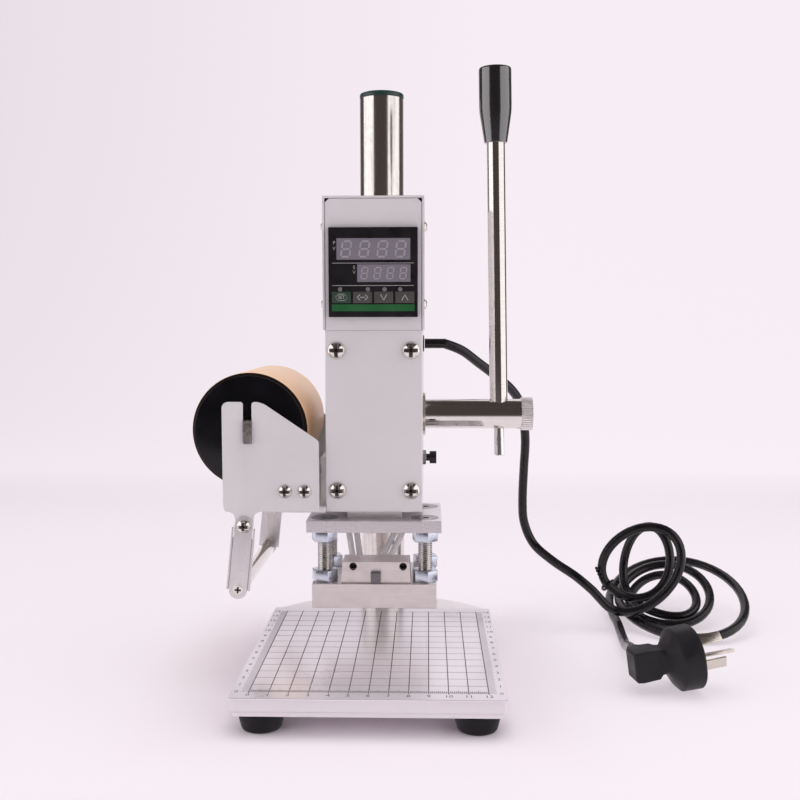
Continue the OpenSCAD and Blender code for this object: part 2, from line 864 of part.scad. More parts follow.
module controller_bezel() color([0.1, 0.1, 0.1]) machine() difference() {
    half = bezel_w / 2;
    span([-half, bezel_y, bezel_z - half], [half, front_y, bezel_z + half]);
    windows(seat);
    for (index = [0:3]) key_block(index, key_gap, key_proud + key_t + key_travel + key_gap);
}

module controller_case() color([0.1, 0.1, 0.1]) machine()
    span([-case_w / 2, front_y, bezel_z - case_w / 2], [case_w / 2, front_y + case_d, bezel_z + case_w / 2]);

module display_windows() color([0.45, 0.43, 0.46]) machine() windows(0);

module controller_key(index) color([0.25, 0.25, 0.24]) machine() key_block(index, 0, key_proud + key_t);
module key_set() controller_key(0);
module key_shift() controller_key(1);
module key_down() controller_key(2);
module key_up() controller_key(3);

// Lever

// Places a shape on the lever's leaning axis, z measured from the shaft axis
module on_lever() {
    translate([rod_x, axis_y, axis_z]) rotate([0, -lever_lean, 0]) children();
}

module pinion_shaft() color("silver") machine() difference() {
    translate([-shaft_left, axis_y, axis_z]) to_right() cylinder(d = shaft_d, h = shaft_left + shaft_reach);
    on_lever() {
        translate([0, 0, -shaft_d]) cylinder(d = pin_d + 2 * seat, h = 2 * shaft_d);
        translate([0, 0, seat_z]) cylinder(d = rod_d + 2 * loose, h = shaft_d);
    }
    translate([shaft_reach, axis_y, axis_z]) to_right() translate([0, 0, -knob_screw_len - 0.1])
        cylinder(d = knob_screw_d + 2 * run, h = knob_screw_len + 1);
}

// Involute flank: angle swept by the curve at radius r, in degrees
function involute(r) = let (a = acos(min(1, gear_base_r / r))) tan(a) * 180 / PI - a;
function polar(r, a) = [r * cos(a), r * sin(a)];
gear_steps = 4;
tooth_half = 90 / gear_teeth - backlash / pitch_r * 90 / PI;
flank_low_r = max(gear_base_r, gear_root_r);
function flank_turn(r) = tooth_half + involute(pitch_r) - involute(r);
function flank(side) = [
    for (i = [0:gear_steps])
        let (r = flank_low_r + (gear_tip_r - flank_low_r) * i / gear_steps) polar(r, side * flank_turn(r))
];
function flipped(list) = [for (i = [len(list) - 1:-1:0]) list[i]];

// Whole pinion outline: root, rising flank, falling flank, tooth by tooth
function turn_by(p, a) = [p[0] * cos(a) - p[1] * sin(a), p[0] * sin(a) + p[1] * cos(a)];
function tooth() = concat(
    [polar(gear_root_r, -flank_turn(flank_low_r))], flank(-1),
    flipped(flank(1)), [polar(gear_root_r, flank_turn(flank_low_r))]);
function gear_outline() = [
    for (i = [0:gear_teeth - 1], p = tooth()) turn_by(p, 360 * i / gear_teeth - 90)
];

module pinion_gear() color("dimgray") machine() translate([-gear_w / 2, axis_y, axis_z]) rotate([90, 0, 90])
    difference() {
        linear_extrude(gear_w) rotate([0, 0, -90]) polygon(gear_outline());
        translate([0, 0, -1]) cylinder(d = shaft_d + 2 * seat, h = gear_w + 2);
    }

grip_z = lever_len - grip_len;
grip_bore = 20;

module lever_rod() color("silver") machine() on_lever() {
    translate([0, 0, -pin_tail]) cylinder(d = pin_d, h = pin_tail + seat_z + 0.1);
    translate([0, 0, seat_z]) cylinder(d = rod_d, h = grip_z + grip_bore - seat_z);
}

module lever_grip() color([0.06, 0.06, 0.06]) machine() on_lever() difference() {
    dome = 2.5;
    top_r = grip_top_d / 2;
    low_r = grip_low_d / 2;
    rotate_extrude()
        polygon([
            [0, grip_z], [low_r - 0.6, grip_z], [low_r, grip_z + 0.6], [top_r, lever_len - grip_straight],
            [top_r, lever_len - 2 * dome], [top_r - 0.25 * dome, lever_len - dome],
            [top_r - dome, lever_len - 0.2 * dome], [0.35 * top_r, lever_len], [0, lever_len]
        ]);
    translate([0, 0, grip_z - 1]) cylinder(d = rod_d + 2 * seat, h = grip_bore + 1);
}

knurl_count = 40;
knurl_r = 0.45;

module clamp_knob() color("silver") machine() translate([shaft_reach, axis_y, axis_z]) to_right() {
    difference() {
        cylinder(d = knob_d, h = knob_w);
        for (i = [0:knurl_count - 1]) rotate([0, 0, 360 * i / knurl_count])
            translate([knob_d / 2 + 0.1, 0, -1]) cylinder(r = knurl_r, h = knob_w + 2, $fn = 4);
    }
    translate([0, 0, -knob_screw_len]) cylinder(d = knob_screw_d, h = knob_screw_len + 0.1);
}

// Ram, press plate and heater

// One gap between two rack teeth, centred on z = 0, tips at y = 0, extruded across the pinion
module rack_gap() {
    depth = 2.25 * gear_module;
    half = tooth_pitch / 4 + backlash / 2;
    slope = tan(pressure_angle);
    top = half + gear_module * slope;
    bottom = half - (depth - gear_module) * slope;
    width = gear_w + 1;
    translate([-width / 2, 0, 0]) rotate([90, 0, 90]) linear_extrude(width)
        polygon([[1, top + slope], [-depth, bottom], [-depth, -bottom], [1, -top - slope]]);
}

rack_gaps_up = floor((ram_top - 3 - axis_z) / tooth_pitch);
rack_gaps_down = 4;

module ram() color("lightgray") machine() difference() {
    span([-ram_w / 2, housing_y + slide_gap, press_top], [ram_w / 2, rack_y, ram_top]);
    for (i = [-rack_gaps_down:rack_gaps_up])
        translate([0, rack_y, axis_z + i * tooth_pitch]) rack_gap();
    for (x = [-ram_screw_x, ram_screw_x])
        translate([x, ram_mid_y, press_top]) rotate([180, 0, 0])
            shank_hole(ram_screw_d, ram_screw_bite + tip_gap);
}

function stud_places() = [
    for (side = [-1, 1], end = [-1, 1]) [side * stud_span_x / 2, stud_y + end * stud_span_y / 2]
];

module press_plate() color("lightgray") machine() difference() {
    span([-press_w / 2, press_front, press_z], [press_w / 2, press_front + press_d, press_top]);
    for (p = stud_places()) translate([p[0], p[1], press_top]) sunk_hole(stud_d, press_t + 1);
    for (x = [-ram_screw_x, ram_screw_x])
        translate([x, ram_mid_y, press_z]) rotate([180, 0, 0]) sunk_hole(ram_screw_d, press_t + 1);
}

module ram_screws() color("dimgray") machine()
    for (x = [-ram_screw_x, ram_screw_x])
        translate([x, ram_mid_y, press_z]) rotate([180, 0, 0])
            sunk_screw(ram_screw_d, press_t + ram_screw_bite);

module levelling_studs() color("silver") machine()
    for (p = stud_places())
        translate([p[0], p[1], press_top]) sunk_screw(stud_d, press_t + stud_free + stud_depth);

module stud_nuts() color([0.75, 0.78, 0.84]) machine()
    for (p = stud_places(), z = [die_top, press_z - nut_h])
        translate([p[0], p[1], z]) hex_nut(stud_d, nut_w, nut_h);

module die_plate() color([0.8, 0.76, 0.74]) machine() difference() {
    span([-die_w / 2, die_front, die_z], [die_w / 2, die_front + die_d, die_top]);
    for (p = stud_places()) translate([p[0], p[1], die_top]) shank_hole(stud_d, stud_depth + 0.5);
}

module cartridge_places() {
    for (x = [-cartridge_x, cartridge_x])
        translate([cartridge_mid + x, heater_rear, cartridge_z]) to_front() children();
}

module at_lock_screw() {
    translate([heater_x, heater_front, die_top + lock_head_w / 2 + lock_rise]) to_front() children();
}

module heater_block() color([0.83, 0.81, 0.8]) machine() difference() {
    translate([heater_x, heater_rear, 0]) to_front() linear_extrude(heater_d)
        polygon([
            [-heater_w / 2, die_top], [heater_w / 2, die_top],
            [heater_top_w / 2, heater_top], [-heater_top_w / 2, heater_top]
        ]);
    cartridge_places() translate([0, 0, -1]) cylinder(d = cartridge_d + 2 * seat, h = heater_d + 2);
    at_lock_screw() shank_hole(lock_shank_d, lock_shank_len + tip_gap);
}

module lock_screw() color("gray") machine() at_lock_screw() {
    translate([-lock_head_w / 2, -lock_head_w / 2, 0]) cube([lock_head_w, lock_head_w, lock_head_t]);
    translate([0, 0, -lock_shank_len]) cylinder(d = lock_shank_d, h = lock_shank_len + 0.1);
}

module heater_cartridges() color("dimgray") machine() cartridge_places()
    cylinder(d = cartridge_d, h = heater_d - cartridge_set_in);

// Sweep of a round section along a list of points

function unit(v) = v / norm(v);
function heading(path, i) = unit(path[min(i + 1, len(path) - 1)] - path[max(i - 1, 0)]);
function across(h) = unit(cross(h, abs(h[2]) < 0.9 ? [0, 0, 1] : [1, 0, 0]));

// Side direction at each point, carried along without twist
function sides_along(path) = [
    for (i = 0, side = across(heading(path, 0)); i < len(path);
         i = i + 1,
         side = i < len(path) ? let (h = heading(path, i)) unit(side - h * (h * side)) : side)
        side
];
function ring(centre, h, side, r, sides) = let (up = cross(h, side)) [
    for (k = [0:sides - 1]) centre + r * (cos(360 * k / sides) * side + sin(360 * k / sides) * up)
];

module tube(path, r, sides) {
    last = len(path) - 1;
    side = sides_along(path);
    points = [for (i = [0:last]) each ring(path[i], heading(path, i), side[i], r, sides)];
    walls = [
        for (i = [0:last - 1], k = [0:sides - 1])
            let (a = i * sides + k, b = i * sides + (k + 1) % sides)
            each [[a, a + sides, b], [b, a + sides, b + sides]]
    ];
    ends = [
        for (k = [1:sides - 2])
            each [[0, k, k + 1], [last * sides, last * sides + k + 1, last * sides + k]]
    ];
    polyhedron(points = points, faces = concat(walls, ends), convexity = 10);
}

// Smooth curve through a list of points
function spline(p0, p1, p2, p3, t) = 0.5 * (
    2 * p1 + (p2 - p0) * t + (2 * p0 - 5 * p1 + 4 * p2 - p3) * t * t
    + (3 * p1 - p0 - 3 * p2 + p3) * t * t * t);
function smooth_path(p, steps) = let (n = len(p)) concat([
    for (i = [0:n - 2], s = [0:steps - 1])
        spline(p[max(i - 1, 0)], p[i], p[i + 1], p[min(i + 2, n - 1)], s / steps)
], [p[n - 1]]);

lead_steps = 4;
function lead_path(i) = let (x = lead_x[i], root = lead_root_x[i], z = lead_root_z) concat(
    [[root, heater_rear, z]],
    smooth_path([
        [root, heater_rear + 4, z],
        [(root + x) / 2, (heater_rear + lead_y) / 2 + 3, (z + press_z) / 2],
        [x, lead_y, press_z + 1], [x, lead_y, press_top + 2], [x, lead_y, head_z + lead_reach]
    ], lead_steps));

module heater_leads() color([0.9, 0.88, 0.86]) machine()
    for (i = [0:len(lead_x) - 1]) tube(lead_path(i), lead_d / 2, 8);

// Foil bracket

// Cheek seen from the front: two posts with the spindle slot between them, a pivot tab below
module cheek_outline() {
    top = head_z + cheek_top;
    corner = 3.5;
    slot_left = roll_x - slot_w / 2;
    slot_right = roll_x + slot_w / 2;
    slot_z = spindle_z - slot_low;
    fillet_x = tab_r + tab_fillet;
    difference() {
        polygon(concat(
            [[cheek_right, cheek_low], [cheek_right, head_z + cheek_side], [slot_right + post_w, top]],
            [[slot_right, top], [slot_right, slot_z], [slot_left, slot_z], [slot_left, top]],
            arc([cheek_left + corner, top - corner], corner, 90, 180, 6),
            [[cheek_left, cheek_low + 3.5], [cheek_left + 1, cheek_low]],
            arc([pivot_x - fillet_x, cheek_low - tab_fillet], tab_fillet, 90, 0, 6),
            arc([pivot_x, pivot_z], tab_r, 180, 360, 12),
            arc([pivot_x + fillet_x, cheek_low - tab_fillet], tab_fillet, 180, 90, 6)
        ));
        translate([pivot_x, pivot_z]) circle(d = pivot_d + 2 * seat);
        for (x = bracket_screw_x)
            translate([x, head_z + bracket_screw_up]) circle(d = bracket_screw_d + 2 * seat);
    }
}

module bracket_cheeks() color("whitesmoke") machine()
    for (y = [cheek_y, rear_cheek_y])
        translate([0, y + sheet_t, 0]) to_front() linear_extrude(sheet_t) cheek_outline();

module foil_tray() color("whitesmoke") machine() difference() {
    union() {
        span([tray_left, cheek_inner_y, head_z], [-half_w, rear_cheek_y, head_z + tray_t]);
        for (y = [cheek_inner_y, rear_cheek_y - tray_t])
            span([tray_left, y, head_z], [cheek_right - 1, y + tray_t, head_z + flange_h]);
        span([tray_wall_x, tray_wall_front, head_z], [-half_w, tray_wall_rear, head_z + tray_wall_h]);
    }
    for (y = [cheek_inner_y, rear_cheek_y], x = bracket_screw_x)
        translate([x, y + 5, head_z + bracket_screw_up]) to_front()
            cylinder(d = bracket_screw_d + 2 * seat, h = 10);
    tray_screw_places() shank_hole(bracket_screw_d, tray_t + 1);
}

module tray_screws() color([0.1, 0.1, 0.1]) machine() tray_screw_places()
    cap_screw(bracket_screw_d, tray_t + tray_screw_bite);

// Six alike: four hold the cheeks to the tray, two are the guide's pivots
module bracket_screws() color("silver") machine() {
    rear_y = rear_cheek_y + sheet_t;
    for (x = bracket_screw_x) {
        translate([x, cheek_y, head_z + bracket_screw_up]) to_front()
            pan_screw(bracket_screw_d, bracket_screw_len);
        translate([x, rear_y, head_z + bracket_screw_up]) to_rear()
            pan_screw(bracket_screw_d, bracket_screw_len);
    }
    stand = 2 * arm_gap + arm_t;
    translate([pivot_x, cheek_y - stand, pivot_z]) to_front() pan_screw(pivot_d, bracket_screw_len);
    translate([pivot_x, rear_y + stand, pivot_z]) to_rear() pan_screw(pivot_d, bracket_screw_len);
}

spindle_end = sheet_t + 1.5;

module spindle() color("silver") machine() translate([roll_x, cheek_inner_y, spindle_z]) {
    translate([0, loose, 0]) to_rear() cylinder(d = spindle_d, h = cheek_span - 2 * loose);
    intersection() {
        translate([0, -spindle_end, 0]) to_rear() cylinder(d = spindle_d, h = cheek_span + 2 * spindle_end);
        span([-slot_w / 2 + 0.1, -spindle_end, -spindle_d],
             [slot_w / 2 - 0.1, cheek_span + spindle_end, spindle_d]);
    }
}

// Foil roll

// Ring along +Y, from y = 0
module y_ring(outer, inner, length) {
    to_rear() difference() {
        cylinder(r = outer, h = length, $fn = 128);
        translate([0, 0, -1]) cylinder(r = inner, h = length + 2);
    }
}

module at_roll(offset) {
    translate([roll_x, roll_y + offset, spindle_z]) children();
}

module foil_core() color("burlywood") machine() at_roll(disc_t)
    y_ring(core_r + core_wall, core_r, foil_len);

module foil_winding() color([0.9, 0.76, 0.62]) machine() at_roll(disc_t)
    y_ring(foil_r, core_r + core_wall + seat, foil_len);

module roll_discs() color([0.06, 0.06, 0.07]) machine()
    for (rear = [0, 1]) at_roll(rear * (foil_len + 2 * disc_t)) mirror([0, rear, 0]) {
        y_ring(disc_r, spindle_d / 2 + hub_run, disc_t);
        translate([0, disc_t - 0.1, 0]) y_ring(core_r - seat, spindle_d / 2 + hub_run, hub_len + 0.1);
    }

// Foil guide

// Arm hanging from its pivot at the origin: strip from y = -arm_t to 0, railed channel behind and beside it
module guide_arm() {
    half = arm_w / 2;
    outer = half + arm_slit + arm_rail;
    low = -arm_len + rail_end - half;
    difference() {
        union() {
            for (z = [0, -arm_len]) translate([0, 0, z]) to_front() cylinder(r = half, h = arm_t);
            span([-half, -arm_t, -arm_len], [half, 0, 0]);
            span([-outer, 0, low], [outer, arm_web, -web_top]);
            both_sides() span([outer - arm_rail, -arm_t, low], [outer, 0, -rail_top]);
        }
        translate([0, 1, 0]) to_front() cylinder(d = pivot_d + 2 * run, h = arm_t + 2);
        translate([0, -arm_t, -arm_len]) to_front() sunk_hole(guide_screw_d, arm_t + arm_web + 1);
    }
}

// Places a shape in the guide's swung frame at its pivot
module at_guide() {
    translate([pivot_x, 0, pivot_z]) rotate([0, arm_angle, 0]) children();
}

// Front and rear of the guide, the rear one turned round
module guide_ends() {
    translate([0, arm_y, 0]) children();
    translate([0, arm_rear_y, 0]) mirror([0, 1, 0]) children();
}

guide_rod_y = arm_y + arm_web;
guide_rod_end = arm_rear_y - arm_web;

module guide_arms() color("gainsboro") machine() at_guide() guide_ends() guide_arm();

module guide_rod() color("silver") machine() at_guide() translate([0, guide_rod_y, -arm_len]) to_rear()
    difference() {
        length = guide_rod_end - guide_rod_y;
        depth = guide_screw_bite + tip_gap;
        cylinder(d = guide_rod_d, h = length);
        for (z = [-1, length - depth])
            translate([0, 0, z]) cylinder(d = guide_screw_d + 2 * seat, h = depth + 1);
    }

module guide_screws() color("silver") machine() at_guide() guide_ends()
    translate([0, -arm_t, -arm_len]) to_front() sunk_screw(guide_screw_d, arm_t + arm_web + guide_screw_bite);

// Mains cord

function ease(t, from) = let (q = max(0, (t - from) / (1 - from))) q * q * (3 - 2 * q);
function loop_start(k) = k < len(bundle_loops) ? bundle_loops[k][0] : bundle_end;
function loop_way(k) = unit(k < len(bundle_loops) ? bundle_loops[k][4] : way_out);
function loop_point(k, t) = let (
    row = bundle_loops[k],
    slide = ease(t, 0),
    turn = ease(t, loop_turn_in),
    way = (1 - turn) * loop_way(k) + turn * loop_way(k + 1),
    reach = row[1] * pow(sin(180 * t), 2),
    rise = row[5] * pow(sin(180 * t) * t, 2)
) (1 - slide) * loop_start(k) + slide * loop_start(k + 1)
    + reach * unit(row[2]) + row[3] * sin(360 * t) * way + [0, 0, rise];
function loop_points(steps) = [
    for (k = [0:len(bundle_loops) - 1], i = [0:steps - 1]) loop_point(k, i / steps)
];
bundle_in = loop_start(0) - cord_d * loop_way(0);
bundle_out = bundle_end + cord_d * loop_way(len(bundle_loops));
function bundle_path(steps) = concat([bundle_in], loop_points(steps), [bundle_end, bundle_out]);

// Least distance between strands that are further apart along the cord than they are across
function least_gap(path, apart) = min([
    for (i = [0:len(path) - 1 - apart], j = [i + apart:len(path) - 1]) norm(path[i] - path[j])
]) - cord_d;

cord_in = bundle_in - cord_d * loop_way(0);
cord_first = cord_exit + [2 * cord_d, 0, 0];
function drop_path() = concat(
    [cord_exit], smooth_path(concat([cord_first], cord_drop, [cord_in]), cord_steps), [bundle_in]);

function on_plug(p) = let (
    x = p[0] * cos(plug_tilt) - p[2] * sin(plug_tilt), z = p[0] * sin(plug_tilt) + p[2] * cos(plug_tilt)
) plug_at + [x * cos(plug_turn) - p[1] * sin(plug_turn), x * sin(plug_turn) + p[1] * cos(plug_turn), z];
plug_in = on_plug(plug_entry);
plug_near = on_plug(plug_entry + [0, 2 * cord_d, 0]);
tail_first = bundle_out + cord_d * loop_way(len(bundle_loops));
cord_floor = [[155, 0, 5], [154, -20, 3.2], [152, -42, 5], [149, -66, 12]];
function tail_path() = concat(
    [bundle_out], smooth_path(concat([tail_first], cord_floor, [plug_near]), cord_steps), [plug_in]);

module power_cord() color([0.12, 0.11, 0.12]) machine() tube(drop_path(), cord_r, cord_sides);

module cord_bundle() color([0.12, 0.11, 0.12]) machine() {
    fine = 3;
    echo(least_gap_in_the_bundle = least_gap(bundle_path(fine * loop_steps), 12));
    tube(bundle_path(loop_steps), cord_r, loop_sides);
}

module cord_tail() color([0.12, 0.11, 0.12]) machine() tube(tail_path(), cord_r, cord_sides);

tie_d = 2;
tie_r = cord_r + 0.4 + tie_d / 2;

// Twist tie round the strand between the two upper loops, with its ends sticking up
module bundle_tie() color([0.05, 0.05, 0.05]) machine() translate(loop_start(1)) {
    way = loop_way(1);
    rotate([0, acos(way[2]), atan2(way[1], way[0])]) {
        rotate_extrude() translate([tie_r, 0]) circle(d = tie_d);
        translate([-tie_r, 0, 0]) rotate([0, -60, 15]) cylinder(d = 0.9 * tie_d, h = 9);
        translate([-tie_r, 0, 0]) rotate([0, -75, -20]) cylinder(d = 0.9 * tie_d, h = 7);
    }
}

module at_plug() {
    translate(plug_at) rotate([0, -plug_tilt, plug_turn]) children();
}

module plug_body() color([0.14, 0.13, 0.15]) machine() at_plug() {
    face_x = plug_len - plug_face_t;
    waist_x = plug_neck_r + plug_neck_l;
    translate([face_x, 0, 0]) to_right() cylinder(r = plug_face_r, h = plug_face_t);
    translate([face_x - plug_cone, 0, 0]) to_right()
        cylinder(r1 = plug_waist_r + 2, r2 = plug_face_r, h = plug_cone);
    translate([waist_x, 0, 0]) to_right() cylinder(r = plug_waist_r, h = face_x - plug_cone - waist_x + 1);
    for (x = [0, plug_neck_l])
        translate([plug_neck_r + x, 0, plug_neck_z]) cylinder(r = plug_neck_r, h = plug_neck_h);
    translate([plug_neck_r, -plug_neck_r, plug_neck_z]) cube([plug_neck_l, 2 * plug_neck_r, plug_neck_h]);
}

module plug_pins() color([0.8, 0.75, 0.7]) machine() at_plug()
    translate([plug_len, 0, 0]) for (turn = [0, 120, 240])
        rotate([turn + 75, 0, 0]) translate([0, -pin_t / 2, pin_ring - pin_w / 2])
            cube([pin_l, pin_t, pin_w]);

base_plate();
scale_plate();
rubber_feet();
foot_screws();
pillar();
pillar_cap();
pillar_bolt();
slide_housing();
front_cover();
cover_screws();
clamp_cap();
clamp_bolts();
shaft_bushes();
friction_screw();
friction_nut();
control_chassis();
control_cover();
box_screws();
floor_screws();
controller_case();
controller_bezel();
display_windows();
key_set();
key_shift();
key_down();
key_up();
cord_grommet();
pinion_shaft();
pinion_gear();
lever_rod();
lever_grip();
clamp_knob();
ram();
press_plate();
ram_screws();
levelling_studs();
stud_nuts();
die_plate();
heater_block();
lock_screw();
heater_cartridges();
heater_leads();
foil_tray();
tray_screws();
bracket_cheeks();
bracket_screws();
spindle();
foil_core();
foil_winding();
roll_discs();
guide_arms();
guide_rod();
guide_screws();
power_cord();
cord_bundle();
cord_tail();
bundle_tie();
plug_body();
plug_pins();
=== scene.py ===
# Looks of the hot foil stamping machine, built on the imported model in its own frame.
import math

import bmesh
import bpy
from mathutils import Matrix, Vector


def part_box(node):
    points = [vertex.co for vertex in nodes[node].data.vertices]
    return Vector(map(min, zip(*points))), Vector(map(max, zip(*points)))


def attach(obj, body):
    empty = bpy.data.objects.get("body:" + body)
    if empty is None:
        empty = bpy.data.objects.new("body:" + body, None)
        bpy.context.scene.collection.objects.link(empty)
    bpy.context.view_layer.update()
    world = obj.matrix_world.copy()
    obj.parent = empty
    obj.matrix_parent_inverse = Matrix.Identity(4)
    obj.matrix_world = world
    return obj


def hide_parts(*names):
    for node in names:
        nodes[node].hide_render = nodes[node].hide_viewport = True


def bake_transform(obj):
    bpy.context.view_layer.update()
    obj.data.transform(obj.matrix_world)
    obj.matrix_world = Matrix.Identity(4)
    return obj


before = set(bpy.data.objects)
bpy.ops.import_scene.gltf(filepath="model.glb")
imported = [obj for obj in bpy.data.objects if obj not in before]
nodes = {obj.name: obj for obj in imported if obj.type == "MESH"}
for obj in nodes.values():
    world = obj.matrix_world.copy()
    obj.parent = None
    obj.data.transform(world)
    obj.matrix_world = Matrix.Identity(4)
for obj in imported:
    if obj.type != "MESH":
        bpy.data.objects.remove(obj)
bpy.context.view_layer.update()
scene = bpy.context.scene
MM = 0.001

# Layout: millimetres from the pillar axis and the floor, as in the part's source
PILLAR_X = 5
PILLAR_Y = 75
SLAB_LOW = 10
SLAB_STEP = 12.5
SLAB_TOP = 19
SLAB_HALF = 68
SLAB_FRONT = -173
SLAB_ARC_Y = -65
SLAB_ARC_R = 84
TABLE_Z = 20
TABLE_HALF = 69
TABLE_FRONT = -174
TABLE_REAR = -16
FOOT_X = 54.5
FOOT_ROWS = (-160, -25)
HEAD_HALF = 26.5
HEAD_Z = 100
HEAD_TOP = 200
FRONT_Y = -107
COVER_REAR = -104
LEVER_X = 71.5
SHAFT_Y = -58.45
SHAFT_Z = 150
BEZEL_Y = -110
BEZEL_Z = 231
ROLL_X = -69
ROLL_Z = 144.6


def at(x, y, z):
    return Vector(((x + PILLAR_X) * MM, (y + PILLAR_Y) * MM, z * MM))


def place(x, y, z):
    return Matrix.Translation(at(x, y, z))


def turn(degrees, axis):
    return Matrix.Rotation(math.radians(degrees), 4, axis)


# Profiles are turned about Z; these lay that axis towards the front or the rear
TO_FRONT = turn(90, "X")
TO_REAR = turn(-90, "X")

# Shader nodes

COLOUR = "NodeSocketColor"
NUMBER = "NodeSocketFloat"
ARROW = "NodeSocketVector"


def add_node(tree, kind, **values):
    node = tree.nodes.new(kind)
    for label, value in values.items():
        setattr(node, label, value)
    return node


def set_inputs(node, **values):
    for label, value in values.items():
        node.inputs[label.replace("_", " ")].default_value = value


# A number or a colour is set on the socket, anything else is linked to it
def feed(tree, socket, value):
    if isinstance(value, (int, float)):
        socket.default_value = value
    elif isinstance(value, tuple):
        socket.default_value = (*value, 1)
    else:
        tree.links.new(value, socket)


# A node with its sockets fed, giving one of its outputs
def fed_node(tree, kind, sockets, output=0, **values):
    node = add_node(tree, kind, **values)
    for socket, value in sockets:
        feed(tree, node.inputs[socket], value)
    return node.outputs[output]


def math_node(tree, operation, *values):
    return fed_node(tree, "ShaderNodeMath", enumerate(values), operation=operation)


def mix_colour(tree, factor, first, second, blend="MIX"):
    sockets = ((0, factor), (6, first), (7, second))
    return fed_node(tree, "ShaderNodeMix", sockets, 2, data_type="RGBA", blend_type=blend)


def mix_shaders(tree, factor, first, second):
    return fed_node(tree, "ShaderNodeMixShader", enumerate((factor, first, second)))


def map_range(tree, value, low, high, to_low, to_high):
    labels = ("Value", "From Min", "From Max", "To Min", "To Max")
    return fed_node(tree, "ShaderNodeMapRange", zip(labels, (value, low, high, to_low, to_high)), "Result")


def noise_node(tree, coordinate, scale, detail=4.0):
    sockets = (("Vector", coordinate), ("Scale", scale), ("Detail", detail))
    return fed_node(tree, "ShaderNodeTexNoise", sockets, "Fac")


def object_place(tree):
    return add_node(tree, "ShaderNodeTexCoord").outputs["Object"]


def split_axes(tree, value):
    node = add_node(tree, "ShaderNodeSeparateXYZ")
    tree.links.new(value, node.inputs[0])
    return node.outputs


# Effects shared by the finishes

def new_group(name, inputs):
    group = bpy.data.node_groups.new(name, "ShaderNodeTree")
    for label, kind, value in inputs:
        socket = group.interface.new_socket(name=label, in_out="INPUT", socket_type=kind)
        socket.default_value = value
    for label, kind in (("Color", COLOUR), ("Roughness", NUMBER), ("Height", NUMBER)):
        group.interface.new_socket(name=label, in_out="OUTPUT", socket_type=kind)
    return group, group.nodes.new("NodeGroupInput").outputs, group.nodes.new("NodeGroupOutput").inputs


# The colour takes the grey tone, and the roughness runs between its limits with the pattern
def close_group(group, given, result, tone, pattern, rough_where_low, height):
    grey = add_node(group, "ShaderNodeCombineColor")
    for channel in grey.inputs[:3]:
        group.links.new(tone, channel)
    tinted = mix_colour(group, 1.0, given["Color"], grey.outputs[0], "MULTIPLY")
    limits = [math_node(group, side, given["Roughness"], given["Gloss Change"])
              for side in ("SUBTRACT", "ADD")]
    if rough_where_low:
        limits.reverse()
    group.links.new(tinted, result["Color"])
    group.links.new(map_range(group, pattern, 0.35, 0.65, *limits), result["Roughness"])
    group.links.new(height, result["Height"])
    return group


# Mottle: slow changes of tone and gloss, with a fine skin on top
def mottle_group():
    group, given, result = new_group("surface mottle", [
        ("Color", COLOUR, (1, 1, 1, 1)), ("Tone", NUMBER, 0.2), ("Scale", NUMBER, 300.0),
        ("Skin Scale", NUMBER, 2500.0), ("Roughness", NUMBER, 0.4), ("Gloss Change", NUMBER, 0.08)])
    coordinate = object_place(group)
    slow = noise_node(group, coordinate, given["Scale"])
    skin = noise_node(group, coordinate, given["Skin Scale"], 2.0)
    darker = math_node(group, "SUBTRACT", 1.0, given["Tone"])
    brighter = math_node(group, "ADD", 1.0, given["Tone"])
    tone = map_range(group, slow, 0.3, 0.7, darker, brighter)
    return close_group(group, given, result, tone, slow, False, skin)


# Streaks: fine lines drawn out along one direction, as turning, milling or rolling leaves them
def streak_group():
    group, given, result = new_group("drawn streaks", [
        ("Color", COLOUR, (1, 1, 1, 1)), ("Stretch", ARROW, (1, 1, 1)), ("Tone", NUMBER, 0.1),
        ("Roughness", NUMBER, 0.25), ("Gloss Change", NUMBER, 0.08)])
    coordinate = object_place(group)
    sockets = ((0, coordinate), (1, given["Stretch"]))
    drawn = fed_node(group, "ShaderNodeVectorMath", sockets, operation="MULTIPLY")
    lines = noise_node(group, drawn, 1.0, 6.0)
    spots = noise_node(group, coordinate, 260.0, 5.0)
    line_share = math_node(group, "MULTIPLY", lines, 0.7)
    spot_share = math_node(group, "MULTIPLY", spots, 0.3)
    both = math_node(group, "ADD", line_share, spot_share)
    darker = math_node(group, "SUBTRACT", 1.0, given["Tone"])
    tone = map_range(group, both, 0.35, 0.65, darker, 1.0)
    return close_group(group, given, result, tone, both, True, lines)


MOTTLE = mottle_group()
STREAKS = streak_group()
RELIEF_DEPTH = 0.0005
EDGE_SAMPLES = 4


def new_material(name):
    material = bpy.data.materials.new(name)
    material.use_nodes = True
    return material


def shader_of(material):
    return material.node_tree.nodes["Principled BSDF"]


